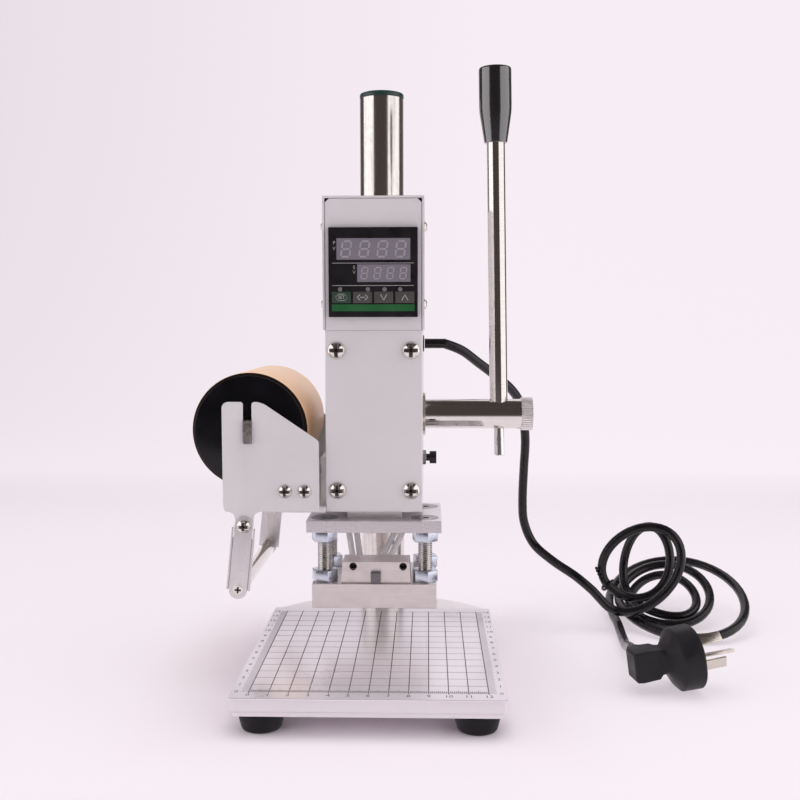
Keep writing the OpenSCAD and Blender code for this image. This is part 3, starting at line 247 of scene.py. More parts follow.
# A finish: one shared effect in front of a Principled shader, with softened edges where asked
def finish(name, group, colour, roughness, bump=0.02, edge=0.0, metallic=0.0, coat=0.0, haze=0.08,
           specular=0.5, **effect):
    material = new_material(name)
    tree = material.node_tree
    shader = shader_of(material)
    set_inputs(shader, Metallic=metallic, Coat_Weight=coat, Coat_Roughness=haze,
               Specular_IOR_Level=specular)
    look = add_node(tree, "ShaderNodeGroup", node_tree=group)
    set_inputs(look, Color=(*colour, 1), Roughness=roughness, **effect)
    tree.links.new(look.outputs["Color"], shader.inputs["Base Color"])
    tree.links.new(look.outputs["Roughness"], shader.inputs["Roughness"])
    relief = add_node(tree, "ShaderNodeBump")
    set_inputs(relief, Strength=bump, Distance=RELIEF_DEPTH)
    tree.links.new(look.outputs["Height"], relief.inputs["Height"])
    tree.links.new(relief.outputs["Normal"], shader.inputs["Normal"])
    if edge:
        soft = add_node(tree, "ShaderNodeBevel", samples=EDGE_SAMPLES)
        set_inputs(soft, Radius=edge * MM)
        tree.links.new(soft.outputs["Normal"], relief.inputs["Normal"])
    return material


# Lay a second colour over a finish by a factor
def overlay(material, factor, colour):
    tree = material.node_tree
    socket = shader_of(material).inputs["Base Color"]
    plain = socket.links[0].from_socket
    tree.links.new(mix_colour(tree, factor, plain, colour), socket)


# Stretches of the streaks
LATHE = (60, 60, 2500)
ALONG_X = (40, 1800, 1800)
ALONG_Z = (1800, 1800, 40)
PILLAR_DRAW = (420, 420, 18)
SHAFT_DRAW = (18, 420, 420)
FILM_DRAW = (60, 900, 60)

# Paint and rubber
white_paint = finish(
    "white paint", MOTTLE, (0.79, 0.775, 0.785), 0.36, bump=0.05, edge=0.5, coat=0.15, Tone=0.02,
    Scale=25, Skin_Scale=1400, Gloss_Change=0.05)
table_white = finish(
    "printed table sheet", MOTTLE, (0.95, 0.91, 0.945), 0.31, bump=0.01, edge=0.3, metallic=0.62,
    Tone=0.025, Scale=30, Skin_Scale=900, Gloss_Change=0.04)
slab_white = finish(
    "slab enamel", MOTTLE, (0.93, 0.885, 0.91), 0.42, bump=0.03, edge=0.5, Tone=0.02, Scale=22,
    Skin_Scale=1200)
foot_black = finish(
    "foot rubber", MOTTLE, (0.01, 0.0092, 0.0105), 0.62, bump=0.15, specular=0.2, Scale=120,
    Skin_Scale=2200)

# Metal
pillar_chrome = finish(
    "pillar plating", STREAKS, (0.82, 0.78, 0.75), 0.17, bump=0.04, metallic=1, Stretch=PILLAR_DRAW,
    Tone=0.22, Gloss_Change=0.05)
turned_chrome = finish(
    "turned plating", STREAKS, (0.84, 0.8, 0.77), 0.09, bump=0.01, edge=0.25, metallic=1,
    Stretch=LATHE, Tone=0.12, Gloss_Change=0.04)
shaft_chrome = finish(
    "shaft plating", STREAKS, (0.84, 0.8, 0.77), 0.09, bump=0.01, edge=0.25, metallic=1,
    Stretch=SHAFT_DRAW, Tone=0.16, Gloss_Change=0.04)
screw_nickel = finish(
    "screw nickel", MOTTLE, (0.8, 0.76, 0.72), 0.14, edge=0.3, metallic=1, Tone=0.08, Skin_Scale=3000,
    Gloss_Change=0.04)
# Painted shade: a dark finish for the crosses laid into the screw recesses, where only shade falls
recess_painted_shade = finish(
    "painted recess shade", MOTTLE, (0.07, 0.058, 0.055), 0.5, bump=0.03, metallic=0.3, Scale=400,
    Skin_Scale=1500)
screw_black = finish(
    "black oxide", MOTTLE, (0.03, 0.03, 0.033), 0.38, bump=0.03, edge=0.3, metallic=0.6,
    Skin_Scale=3000)
zinc = finish(
    "blue zinc", MOTTLE, (0.63, 0.67, 0.76), 0.24, bump=0.03, edge=0.4, metallic=1, Tone=0.08,
    Scale=250, Gloss_Change=0.06)
stud_steel = finish(
    "stud steel", MOTTLE, (0.6, 0.57, 0.55), 0.3, bump=0.03, edge=0.2, metallic=1, Tone=0.12)
stud_dark = finish(
    "stud head", MOTTLE, (0.38, 0.36, 0.365), 0.32, bump=0.03, edge=0.3, metallic=0.85, Tone=0.15)
lock_grey = finish(
    "lock screw", MOTTLE, (0.2, 0.19, 0.195), 0.34, bump=0.03, edge=0.5, metallic=0.6, Tone=0.15)
knurl_nickel = finish(
    "knurled nickel", MOTTLE, (0.88, 0.84, 0.83), 0.36, bump=0.03, edge=0.1, metallic=0.6, Tone=0.08,
    Skin_Scale=1500)
milled_x = finish(
    "milled aluminium", STREAKS, (0.88, 0.81, 0.795), 0.34, bump=0.025, edge=0.4, metallic=0.75,
    Stretch=ALONG_X, Gloss_Change=0.06)
plate_steel = finish(
    "press plate finish", STREAKS, (0.83, 0.785, 0.805), 0.3, bump=0.01, edge=0.4, metallic=0.7,
    Stretch=ALONG_X, Tone=0.05, Gloss_Change=0.04)
arm_aluminium = finish(
    "guide arm aluminium", STREAKS, (0.83, 0.795, 0.8), 0.3, edge=0.2, metallic=0.8, Stretch=ALONG_Z,
    Tone=0.06, Gloss_Change=0.05)
bush_bronze = finish(
    "bush bronze", STREAKS, (0.72, 0.64, 0.56), 0.25, edge=0.3, metallic=1, Stretch=LATHE, Tone=0.15,
    Gloss_Change=0.06)
pin_metal = finish(
    "pin plating", STREAKS, (0.75, 0.69, 0.62), 0.25, edge=0.3, metallic=1, Stretch=ALONG_X)

# Plastic, cord and board
cap_black = finish(
    "cap plastic", MOTTLE, (0.02, 0.05, 0.04), 0.35, bump=0.05, edge=0.4, Tone=0.15, Scale=150)
bezel_black = finish(
    "controller case", MOTTLE, (0.011, 0.0105, 0.012), 0.34, bump=0.05, edge=0.5, Tone=0.12, Scale=120,
    Skin_Scale=3500)
grip_black = finish(
    "grip moulding", MOTTLE, (0.0065, 0.006, 0.008), 0.16, bump=0.01, coat=1, haze=0.16, Tone=0.15,
    Scale=80, Gloss_Change=0.05, Skin_Scale=1500)
set_inputs(shader_of(grip_black), Coat_IOR=2.2)
disc_black = finish(
    "disc moulding", MOTTLE, (0.005, 0.005, 0.007), 0.2, edge=0.4, specular=0.3, Scale=90,
    Skin_Scale=1800, Gloss_Change=0.06)
cord_black = finish(
    "cord sheath", MOTTLE, (0.008, 0.007, 0.0085), 0.28, specular=0.45, Scale=150)
plug_black = finish(
    "plug moulding", MOTTLE, (0.013, 0.0125, 0.015), 0.5, bump=0.12, specular=0.3, Tone=0.15,
    Scale=120, Skin_Scale=2800)
board_tan = finish(
    "core board", MOTTLE, (0.42, 0.3, 0.19), 0.85, bump=0.2, Tone=0.1, Scale=200, Skin_Scale=1500)

# Lead sleeves let some light through
sleeve_white = finish(
    "lead sleeve", MOTTLE, (0.96, 0.94, 0.93), 0.6, bump=0.3, Tone=0.04, Scale=200)
set_inputs(shader_of(sleeve_white), Subsurface_Weight=0.8, Subsurface_Radius=(1, 1, 1),
           Subsurface_Scale=0.012)

# Display, print and ink
window_grey = finish(
    "display window", MOTTLE, (0.235, 0.22, 0.255), 0.12, bump=0, coat=0.3, Tone=0.04, Scale=60,
    Gloss_Change=0.03, Skin_Scale=1500)
segment_grey = finish(
    "unlit segment", MOTTLE, (0.37, 0.355, 0.39), 0.3, bump=0, Tone=0.03, Scale=200, Skin_Scale=1500)
band_green = finish(
    "green band", MOTTLE, (0.018, 0.135, 0.04), 0.4, bump=0.03, Tone=0.06, Scale=120)
print_grey = finish(
    "panel print", MOTTLE, (0.42, 0.41, 0.42), 0.5, bump=0, Tone=0.04, Scale=400, Skin_Scale=1500)
lamp_grey = finish(
    "indicator lens", MOTTLE, (0.2, 0.18, 0.19), 0.25, bump=0, Scale=400, Tone=0.05, Skin_Scale=1500)
ink_dark = finish(
    "grid ink", MOTTLE, (0.12, 0.095, 0.11), 0.6, bump=0, specular=0.08, Scale=60, Skin_Scale=1500)
ink_pale = finish(
    "grid ink fine", MOTTLE, (0.33, 0.3, 0.325), 0.6, bump=0, specular=0.08, Scale=60, Skin_Scale=1500)

# Keys: soft plastic with fine ribs across
RIB_SCALE = 300.0
RIB_SHARE = 0.35
RIB_DARK = (0.02, 0.019, 0.018)


def key_finish(name, colour):
    material = finish(name, MOTTLE, colour, 0.5, bump=0.25, edge=0.3,
                      Tone=0.06, Scale=200.0, Skin_Scale=2200.0)
    tree = material.node_tree
    sockets = (("Vector", object_place(tree)), ("Scale", RIB_SCALE))
    ribs = fed_node(tree, "ShaderNodeTexWave", sockets, "Fac", wave_type="BANDS", bands_direction="Z")
    overlay(material, map_range(tree, ribs, 0.0, 1.0, 0.0, RIB_SHARE), RIB_DARK)
    return material


key_dark = key_finish("key plastic", (0.085, 0.08, 0.075))
key_green = key_finish("set key plastic", (0.03, 0.075, 0.045))

# Foil: metallised film, pale on the curved face, with the wound edge showing as fine rings
RING_SCALE = 450.0
RING_DISTORTION = 1.5
RING_TONES = ((0.012, 0.006, 0.004), (0.04, 0.018, 0.01))
END_FACE = 0.7


def foil_finish():
    material = finish("metallised foil", STREAKS, (0.97, 0.67, 0.42), 0.36, metallic=0.25, specular=0.3,
                      Stretch=FILM_DRAW, Tone=0.06, Gloss_Change=0.06)
    tree = material.node_tree
    normal = split_axes(tree, add_node(tree, "ShaderNodeNewGeometry").outputs["True Normal"])
    end_face = math_node(tree, "GREATER_THAN", math_node(tree, "ABSOLUTE", normal["Y"]), END_FACE)
    centred = add_node(tree, "ShaderNodeVectorMath", operation="SUBTRACT")
    centred.inputs[1].default_value = at(ROLL_X, 0, ROLL_Z)
    tree.links.new(object_place(tree), centred.inputs[0])
    parts = split_axes(tree, centred.outputs[0])
    flat = fed_node(tree, "ShaderNodeCombineXYZ", (("X", parts["X"]), ("Z", parts["Z"])))
    sockets = (("Vector", flat), ("Scale", RING_SCALE), ("Distortion", RING_DISTORTION))
    rings = fed_node(tree, "ShaderNodeTexWave", sockets, "Fac", wave_type="RINGS",
                     rings_direction="SPHERICAL")
    overlay(material, end_face, mix_colour(tree, rings, *RING_TONES))
    return material


foil_copper = foil_finish()

# Shapes

def smooth_by_angle(mesh, degrees=32):
    for polygon in mesh.polygons:
        polygon.use_smooth = True
    mesh.set_sharp_from_angle(angle=math.radians(degrees))


# A visible piece: its mesh, finish, body and the nodes it stands for; the slot argument is not used
def piece(name, shape, material, body, slot, stands_for="", degrees=32):
    bmesh.ops.remove_doubles(shape, verts=shape.verts, dist=1e-7)
    bmesh.ops.recalc_face_normals(shape, faces=shape.faces)
    mesh = bpy.data.meshes.new(name)
    shape.to_mesh(mesh)
    shape.free()
    smooth_by_angle(mesh, degrees)
    for one in material if isinstance(material, list) else [material]:
        mesh.materials.append(one)
    thing = bpy.data.objects.new(name, mesh)
    scene.collection.objects.link(thing)
    if body:
        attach(thing, body)
    if stands_for:
        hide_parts(*stands_for.split())
    return thing


def only_verts(geometry):
    return [item for item in geometry if isinstance(item, bmesh.types.BMVert)]


def new_verts(shape, before):
    return [vertex for vertex in shape.verts if vertex not in before]


def bevel_edges(shape, edges, width, segments=2):
    bmesh.ops.bevel(shape, geom=list(edges), offset=width * MM, offset_type="OFFSET", affect="EDGES",
                    segments=segments, profile=0.5, material=-1, clamp_overlap=True)


def round_corners(shape, corners, radius, segments, clamp=False):
    bmesh.ops.bevel(shape, geom=corners, offset=radius * MM, offset_type="OFFSET", affect="VERTICES",
                    segments=segments, profile=0.5, material=-1, clamp_overlap=clamp)


def sharp_edges(shape, degrees=40):
    limit = math.radians(degrees)
    return [e for e in shape.edges if len(e.link_faces) == 2 and e.calc_face_angle(0) > limit]


# Box of a given size set down by a matrix
def add_box(shape, spot, size, material_index=0):
    scaled = spot @ Matrix.Diagonal((*(Vector(size) * MM), 1))
    made = bmesh.ops.create_cube(shape, size=1.0, matrix=scaled)["verts"]
    for face in {f for v in made for f in v.link_faces}:
        face.material_index = material_index
    return made


# Box between two corners in the layout, its edges rounded
def add_block(shape, low, high, rounding=0.0, segments=2, material_index=0):
    middle = Matrix.Translation((at(*low) + at(*high)) / 2)
    made = add_box(shape, middle, Vector(high) - Vector(low), material_index)
    if rounding:
        bevel_edges(shape, {e for v in made for e in v.link_edges}, rounding, segments)


def add_line(shape, points):
    verts = [shape.verts.new(point) for point in points]
    return verts + [shape.edges.new(pair) for pair in zip(verts, verts[1:])]


# Solid turned from a profile of (radius, height) pairs about the local Z axis
def add_turned(shape, profile, spot, steps=64):
    before = set(shape.verts)
    line = add_line(shape, [Vector((r * MM, 0, h * MM)) for r, h in profile])
    bmesh.ops.spin(shape, geom=line, cent=(0, 0, 0), axis=(0, 0, 1), dvec=(0, 0, 0),
                   angle=2 * math.pi, steps=steps, use_merge=True, use_duplicate=False)
    bmesh.ops.remove_doubles(shape, verts=new_verts(shape, before), dist=1e-6)
    bmesh.ops.transform(shape, matrix=spot, verts=new_verts(shape, before))


def turned_piece(name, profile, spot, steps, *looks):
    shape = bmesh.new()
    add_turned(shape, profile, spot, steps)
    piece(name, shape, *looks)


# Outer side of a cylinder, its two rims rounded
def rim_profile(radius, low, high, rim):
    near = 0.3 * rim
    return [(radius - rim, low), (radius - near, low + near), (radius, low + rim),
            (radius, high - rim), (radius - near, high - near), (radius - rim, high)]


def rod_profile(radius, low, high, rim):
    return [(0, low)] + rim_profile(radius, low, high, rim) + [(0, high)]


def ring_profile(outer, inner, low, high, rim):
    return [(inner, low)] + rim_profile(outer, low, high, rim) + [(inner, high), (inner, low)]


def mesh_of(curve):
    holder = bpy.data.objects.new(curve.name, curve)
    scene.collection.objects.link(holder)
    bpy.context.view_layer.update()
    ready = holder.evaluated_get(bpy.context.evaluated_depsgraph_get())
    mesh = bpy.data.meshes.new_from_object(ready)
    bpy.data.objects.remove(holder)
    return mesh


# Flat words and numbers, made a mesh and laid where they belong
def add_words(shape, words, size, spot, thickness, material_index=0):
    curve = bpy.data.curves.new("words", "FONT")
    curve.body = words
    curve.size = size * MM
    curve.align_x = "CENTER"
    curve.align_y = "CENTER"
    curve.extrude = thickness * MM / 2
    curve.resolution_u = 3
    mesh = mesh_of(curve)
    mesh.transform(spot)
    for polygon in mesh.polygons:
        polygon.material_index = material_index
    shape.from_mesh(mesh)
    bpy.data.meshes.remove(mesh)


# Round tubes along runs of points
def tube_shape(name, runs, radius, roundness=4):
    curve = bpy.data.curves.new(name, "CURVE")
    curve.dimensions = "3D"
    curve.bevel_depth = radius * MM
    curve.bevel_resolution = roundness
    curve.use_fill_caps = True
    for points in runs:
        spline = curve.splines.new("POLY")
        spline.points.add(len(points) - 1)
        for point, spot in zip(spline.points, points):
            point.co = (*spot, 1)
    mesh = mesh_of(curve)
    shape = bmesh.new()
    shape.from_mesh(mesh)
    bpy.data.meshes.remove(mesh)
    return shape


# Camera at the photograph's place
LENS = 45.42
SENSOR = 36
NEAR_CLIP = 0.01
YAW = -1.587
PITCH = 4.531
ROLL = -0.083
CAMERA_AT = (29.5, -655.1, 205.4)
camera_data = bpy.data.cameras.new("camera")
camera_data.lens = LENS
camera_data.sensor_width = SENSOR
camera_data.clip_start = NEAR_CLIP
camera = bpy.data.objects.new("camera", camera_data)
scene.collection.objects.link(camera)
camera.matrix_world = place(*CAMERA_AT) @ turn(-YAW, "Z") @ turn(90 - PITCH, "X") @ turn(ROLL, "Z")
scene.camera = camera

# Mains cord: the same route as in the part's source
CORD_D = 6
CORD_STEPS = 6
CORD_EXIT = Vector((27.5, -33, 191))
CORD_DROP = [
    (50.5, -28.5, 186.6), (61, -20.5, 178.8), (73, -10.5, 169.6), (84, 0, 160), (91, 9, 148),
    (94.5, 17, 127), (94.3, 23, 105), (94, 27, 83), (95.5, 29.5, 67), (102, 28, 52.5), (114, 19, 43),
    (128, 9.5, 35),
]
WAY_OVER = Vector((0.6, -0.1, -0.65)).normalized()
WAY_IN = Vector((0.25, -0.92, -0.25)).normalized()
WAY_OUT = Vector((0, -0.99, -0.13)).normalized()

# Each loop: start at the waist, reach, direction outwards, half length, way through the waist, rise
LOOPS = [
    ((147, 4.5, 17.5), 59, (0.73, -0.05, 0.64), 20.5, WAY_OVER, 0),
    ((151, 18.5, 27), 49, (0.43, 0.05, 0.6), 27.5, WAY_OVER, 0),
    ((169.5, 32.5, 14.5), 42.5, (1, 0, 0), 25, WAY_IN, 34.5),
    ((169.5, 36, 7), 56.5, (1, 0, 0), 33, WAY_OUT, 49.5),
    ((162, 33, 10.5), 84.5, (1, 0, 0), 56.5, WAY_OUT, 42.5),
]
LOOP_STEPS = 48
TURN_START = 0.2
BUNDLE_END = Vector((154.9, 26.7, 7.7))
CORD_FLOOR = [(155, 0, 5), (154, -20, 3.2), (152, -42, 5), (149, -66, 12)]
PLUG_AT = Vector((142, -108, 13.9))
PLUG_TURN = turn(10, "Z") @ turn(-8, "Y")
PLUG_ENTRY = Vector((8, 7, 3))


def ease(t, start):
    q = max(0.0, (t - start) / (1 - start))
    return q * q * (3 - 2 * q)


def loop_start(k):
    return Vector(LOOPS[k][0] if k < len(LOOPS) else BUNDLE_END)


def loop_way(k):
    return LOOPS[k][4] if k < len(LOOPS) else WAY_OUT


def loop_point(k, t):
    _, reach, out, half, _, rise = LOOPS[k]
    turning = ease(t, TURN_START)
    way = (1 - turning) * loop_way(k) + turning * loop_way(k + 1)
    spot = loop_start(k).lerp(loop_start(k + 1), ease(t, 0))
    spot += reach * math.sin(math.pi * t) ** 2 * Vector(out).normalized()
    spot += half * math.sin(2 * math.pi * t) * way
    return spot + Vector((0, 0, rise * (math.sin(math.pi * t) * t) ** 2))


def smooth_path(points, steps):
    points = [Vector(p) for p in points]
    last = len(points) - 1
    path = []
    for i in range(last):
        a, b, c, d = points[max(i - 1, 0)], points[i], points[i + 1], points[min(i + 2, last)]
        for s in range(steps):
            t = s / steps
            path.append(0.5 * (2 * b + (c - a) * t + (2 * a - 5 * b + 4 * c - d) * t ** 2
                               + (3 * b - a - 3 * c + d) * t ** 3))
    return path + [points[last]]


def on_plug(point):
    return PLUG_AT + PLUG_TURN @ Vector(point)


cord_first = CORD_EXIT + Vector((2 * CORD_D, 0, 0))
cord_last = on_plug(PLUG_ENTRY + Vector((0, 2 * CORD_D, 0)))
bundle_in = loop_start(0) - CORD_D * loop_way(0)
bundle_out = BUNDLE_END + CORD_D * WAY_OUT
drop_run = smooth_path([cord_first] + CORD_DROP + [bundle_in - CORD_D * loop_way(0)], CORD_STEPS)
loop_run = [loop_point(k, i / LOOP_STEPS) for k in range(len(LOOPS)) for i in range(LOOP_STEPS)]
tail_run = smooth_path([bundle_out + CORD_D * WAY_OUT] + CORD_FLOOR + [cord_last], CORD_STEPS)
route = [CORD_EXIT] + drop_run + [bundle_in] + loop_run + [BUNDLE_END, bundle_out] + tail_run
route = [at(*point) for point in route + [on_plug(PLUG_ENTRY)]]

cord = piece("mains_cord", tube_shape("mains_cord", [route], CORD_D / 2), cord_black, None, "cord_rubber",
             "power_cord cord_bundle cord_tail", degrees=60)
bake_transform(cord)

# Plug: moulded body lofted from rounded sections along its axis, with a collar where the cord goes in
# Each section: place on the axis, half width, low, high, corner radius
PLUG_SECTIONS = [
    (0, 5.9, -6.2, 8.6, 1), (0.9, 6.9, -7.2, 9.6, 1.2), (4, 7.2, -7.6, 9.8, 1.2),
    (13.5, 7.2, -7.2, 9.4, 1.2), (15.5, 6.8, -5.6, 8.6, 2), (18.5, 7.4, -5.4, 8.2, 3.5),
    (20.5, 10, -8.6, 10.4, 6), (24, 16.2, -15.8, 16.2, 14), (25.2, 17.2, -17.1, 17.2, 15.6),
    (35.8, 17.4, -17.4, 17.4, 15.8), (36.5, 16.8, -16.8, 16.8, 15.2),
]
PLUG_ENDS = (PLUG_SECTIONS[0][0], PLUG_SECTIONS[-1][0])
PLUG_CORNER_STEPS = 8
ACROSS_PLUG = turn(90, "Z") @ turn(90, "X")
COLLAR_PROFILE = [(0, -1), (5.4, -1), (5.4, 3), (4.6, 4.2), (4.2, 7), (3.4, 7.4), (0, 7.4)]
PIN_SIZE = (19.5, 1.6, 6.3)
PIN_X = 46.25
PIN_CIRCLE_R = 8
PIN_TURNS = (75, 195, 315)


def add_plug_body(shape):
    loops = []
    for x, half, low, high, corner in PLUG_SECTIONS:
        made = bmesh.ops.create_grid(shape, x_segments=1, y_segments=1, size=1.0)["verts"]
        span = Matrix.Diagonal((half * MM, (high - low) / 2 * MM, 1, 1))
        middle = Matrix.Translation((x * MM, 0, (high + low) / 2 * MM))
        bmesh.ops.transform(shape, matrix=middle @ ACROSS_PLUG @ span, verts=made)
        round_corners(shape, made, corner, PLUG_CORNER_STEPS, clamp=True)
        face = [f for f in shape.faces if all(abs(v.co.x - x * MM) < 1e-7 for v in f.verts)][0]
        loops.append(list(face.edges))
        if x not in PLUG_ENDS:
            bmesh.ops.delete(shape, geom=[face], context="FACES_ONLY")
    for one, other in zip(loops, loops[1:]):
        bmesh.ops.bridge_loops(shape, edges=one + other)


plug_spot = place(*PLUG_AT) @ PLUG_TURN
plug_shape = bmesh.new()
add_plug_body(plug_shape)
add_turned(plug_shape, COLLAR_PROFILE, Matrix.Translation(PLUG_ENTRY * MM) @ TO_REAR, 32)
bmesh.ops.transform(plug_shape, matrix=plug_spot, verts=plug_shape.verts)
plug = piece("mains_plug", plug_shape, plug_black, "base", "plug_plastic", "plug_body", degrees=34)

pin_shape = bmesh.new()
for degrees in PIN_TURNS:
    spot = Matrix.Translation((PIN_X * MM, 0, 0)) @ turn(degrees, "X")
    add_box(pin_shape, plug_spot @ spot @ Matrix.Translation((0, 0, PIN_CIRCLE_R * MM)), PIN_SIZE)
bevel_edges(pin_shape, pin_shape.edges, 0.5)
pins = piece("plug_blades", pin_shape, pin_metal, "base", "pin_brass", "plug_pins")

# Twist tie round the bundle's waist, its two ends wound together and sticking up
TIE_R = 4.4
TIE_SWAY = 0.6
TIE_WIRE_R = 0.9
TIE_KNOT = Vector((-3.4, -1.5, 2.6))
TAIL_R = 0.9
TAIL_TWIST = 1.3
TAIL_LEAN = -0.45
TAIL_STEP = 0.4
tie_middle = LOOPS[1][0]
tie_spot = place(*tie_middle) @ loop_way(1).to_track_quat("Z", "Y").to_matrix().to_4x4()
knot_spot = at(*tie_middle) + TIE_KNOT * MM


def tie_point(degrees):
    a = math.radians(degrees)
    return tie_spot @ (Vector((TIE_R * math.cos(a), TIE_R * math.sin(a), TIE_SWAY * math.sin(2 * a))) * MM)


def tail_point(phase, rise):
    a = phase + TAIL_TWIST * rise
    return knot_spot + Vector((TAIL_LEAN * rise + TAIL_R * math.cos(a), TAIL_R * math.sin(a), rise)) * MM


tie_runs = [[tie_point(10 * i) for i in range(37)]]
for phase in (0, math.pi):
    tie_runs.append([tail_point(phase, TAIL_STEP * i) for i in range(24)])
tie = piece("twist_tie", tube_shape("twist_tie", tie_runs, TIE_WIRE_R, 3), cord_black, "base",
            "tie_plastic", "bundle_tie", degrees=60)

# Base slab: a narrower foot below the main plate, with a curved rear
SLAB_INSET = 0.6
SLAB_ARC_STEPS = 40


def slab_shape(inset, low, high):
    shape = bmesh.new()
    half = SLAB_HALF - inset
    radius = SLAB_ARC_R - inset
    angle = math.acos(half / radius)
    right = shape.verts.new(at(half, SLAB_ARC_Y + radius * math.sin(angle), low))
    made = bmesh.ops.spin(shape, geom=[right], cent=at(0, SLAB_ARC_Y, low), axis=(0, 0, 1), dvec=(0, 0, 0),
                          angle=math.pi - 2 * angle, steps=SLAB_ARC_STEPS, use_duplicate=False)
    left = only_verts(made["geom_last"])[0]
    front_left = shape.verts.new(at(-half, SLAB_FRONT + inset, low))
    front_right = shape.verts.new(at(half, SLAB_FRONT + inset, low))
    for pair in ((left, front_left), (front_left, front_right), (front_right, right)):
        shape.edges.new(pair)
    face = bmesh.ops.contextual_create(shape, geom=shape.edges[:])["faces"][0]
    pushed = bmesh.ops.extrude_face_region(shape, geom=[face])["geom"]
    bmesh.ops.translate(shape, vec=(0, 0, (high - low) * MM), verts=only_verts(pushed))
    bmesh.ops.recalc_face_normals(shape, faces=shape.faces)
    return shape


slab = slab_shape(SLAB_INSET, SLAB_LOW, SLAB_STEP)
upper = slab_shape(0, SLAB_STEP, SLAB_TOP)
bevel_edges(upper, sharp_edges(upper), 0.7, 3)
bevel_edges(slab, sharp_edges(slab), 0.3, 2)
upper_mesh = bpy.data.meshes.new("slab_part")
upper.to_mesh(upper_mesh)
upper.free()
slab.from_mesh(upper_mesh)
bpy.data.meshes.remove(upper_mesh)
piece("base_slab", slab, slab_white, "base", "white_paint", "base_plate")

table_shape = bmesh.new()
add_block(table_shape, (-TABLE_HALF, TABLE_FRONT, SLAB_TOP), (TABLE_HALF, TABLE_REAR, TABLE_Z), 0.25)
piece("ruled_table", table_shape, table_white, "base", "scale_print", "scale_plate")

# Printed grid: centimetre lines both ways, millimetre ticks along three sides, and numbers
SQUARE = 10
COLUMNS = 12
ROWS = 14
GRID_HALF = COLUMNS * SQUARE / 2
GRID_Y = -165
LINE_FRONT = GRID_Y - 1.6
LINE_REAR = GRID_Y + ROWS * SQUARE + 1
LINE_HALF = 0.24
FINE_HALF = 0.14
FRONT_TICK = 2.4
FRONT_TICK_LONG = 3.2
SIDE_TICK = 3.8
SIDE_TICK_LONG = 4.4
LONG_EVERY = 5
PRINT_LOW = 19.98
PRINT_HIGH = 20.03
LAYER = 0.01
WORDS_Z = TABLE_Z + 0.01
WORDS_T = 0.03
COLUMN_WORDS = 4.4
COLUMN_WORDS_Y = GRID_Y - 4.2
ROW_WORDS = 4
ROW_WORDS_X = 66.4
DARK, PALE = 0, 1
grid_shape = bmesh.new()


# A bar of ink, each kind of line a layer lower than the one before, so that no tops coincide
def add_ink(x_low, x_high, y_low, y_high, layers_down, ink):
    add_block(grid_shape, (x_low, y_low, PRINT_LOW), (x_high, y_high, PRINT_HIGH - layers_down * LAYER),
              material_index=ink)


for column in range(COLUMNS + 1):
    x = column * SQUARE - GRID_HALF
    add_ink(x - LINE_HALF, x + LINE_HALF, LINE_FRONT, LINE_REAR, 0, DARK)
for row in range(ROWS + 1):
    y = GRID_Y + row * SQUARE
    add_ink(-GRID_HALF, GRID_HALF, y - LINE_HALF, y + LINE_HALF, 1, PALE)
for tick in range(COLUMNS * SQUARE + 1):
    x = tick - GRID_HALF
    reach = FRONT_TICK_LONG if tick % LONG_EVERY == 0 else FRONT_TICK
    add_ink(x - LINE_HALF, x + LINE_HALF, GRID_Y, GRID_Y + reach, 2, DARK)
for tick in range(ROWS * SQUARE + 1):
    y = GRID_Y + tick
    reach = SIDE_TICK_LONG if tick % LONG_EVERY == 0 else SIDE_TICK
    for side in (-1, 1):
        inner, outer = sorted((side * GRID_HALF, side * (GRID_HALF + reach)))
        add_ink(inner, outer, y - FINE_HALF, y + FINE_HALF, 2, PALE)
for column in range(COLUMNS + 1):
    spot = place(column * SQUARE - GRID_HALF, COLUMN_WORDS_Y, WORDS_Z)
    add_words(grid_shape, str(column), COLUMN_WORDS, spot, WORDS_T)
for row in range(ROWS + 1):
    for side in (-1, 1):
        spot = place(side * ROW_WORDS_X, GRID_Y + row * SQUARE, WORDS_Z)
        add_words(grid_shape, str(row), ROW_WORDS, spot, WORDS_T)
piece("table_print", grid_shape, [ink_dark, ink_pale], "base", "scale_print", degrees=20)

# Feet, pillar and its cap
FOOT_PROFILE = [
    (4.2, 0.2), (8.6, 0), (9.8, 0.35), (10.4, 1.2), (10.7, 2.4), (12.2, 8.4), (12.5, 9.5),
    (12.2, 10), (2.1, 10), (2.1, 5), (4.2, 5), (4.2, 0.2),
]
PILLAR_PROFILE = [
    (0, 19), (13.8, 19), (14, 19.2), (14, 345.1), (13.6, 345.5), (11, 345.5), (11, 49), (0, 49),
]
CAP_PROFILE = [
    (0, 333.5), (10.9, 333.5), (10.9, 345.5), (13.8, 345.5), (14, 345.8), (14, 347.6), (13.7, 348.2),
    (12.9, 348.5), (0, 348.5),
]
feet_shape = bmesh.new()
for side in (-1, 1):
    for y in FOOT_ROWS:
        add_turned(feet_shape, FOOT_PROFILE, place(side * FOOT_X, y, 0), 48)
piece("foot_pads", feet_shape, foot_black, "base", "foot_rubber", "rubber_feet")
axis_spot = place(0, 0, 0)
turned_piece("pillar_tube", PILLAR_PROFILE, axis_spot, 96, pillar_chrome, "base", "chrome", "pillar")
turned_piece("pillar_plug", CAP_PROFILE, axis_spot, 96, cap_black, "base", "cap_plastic", "pillar_cap")

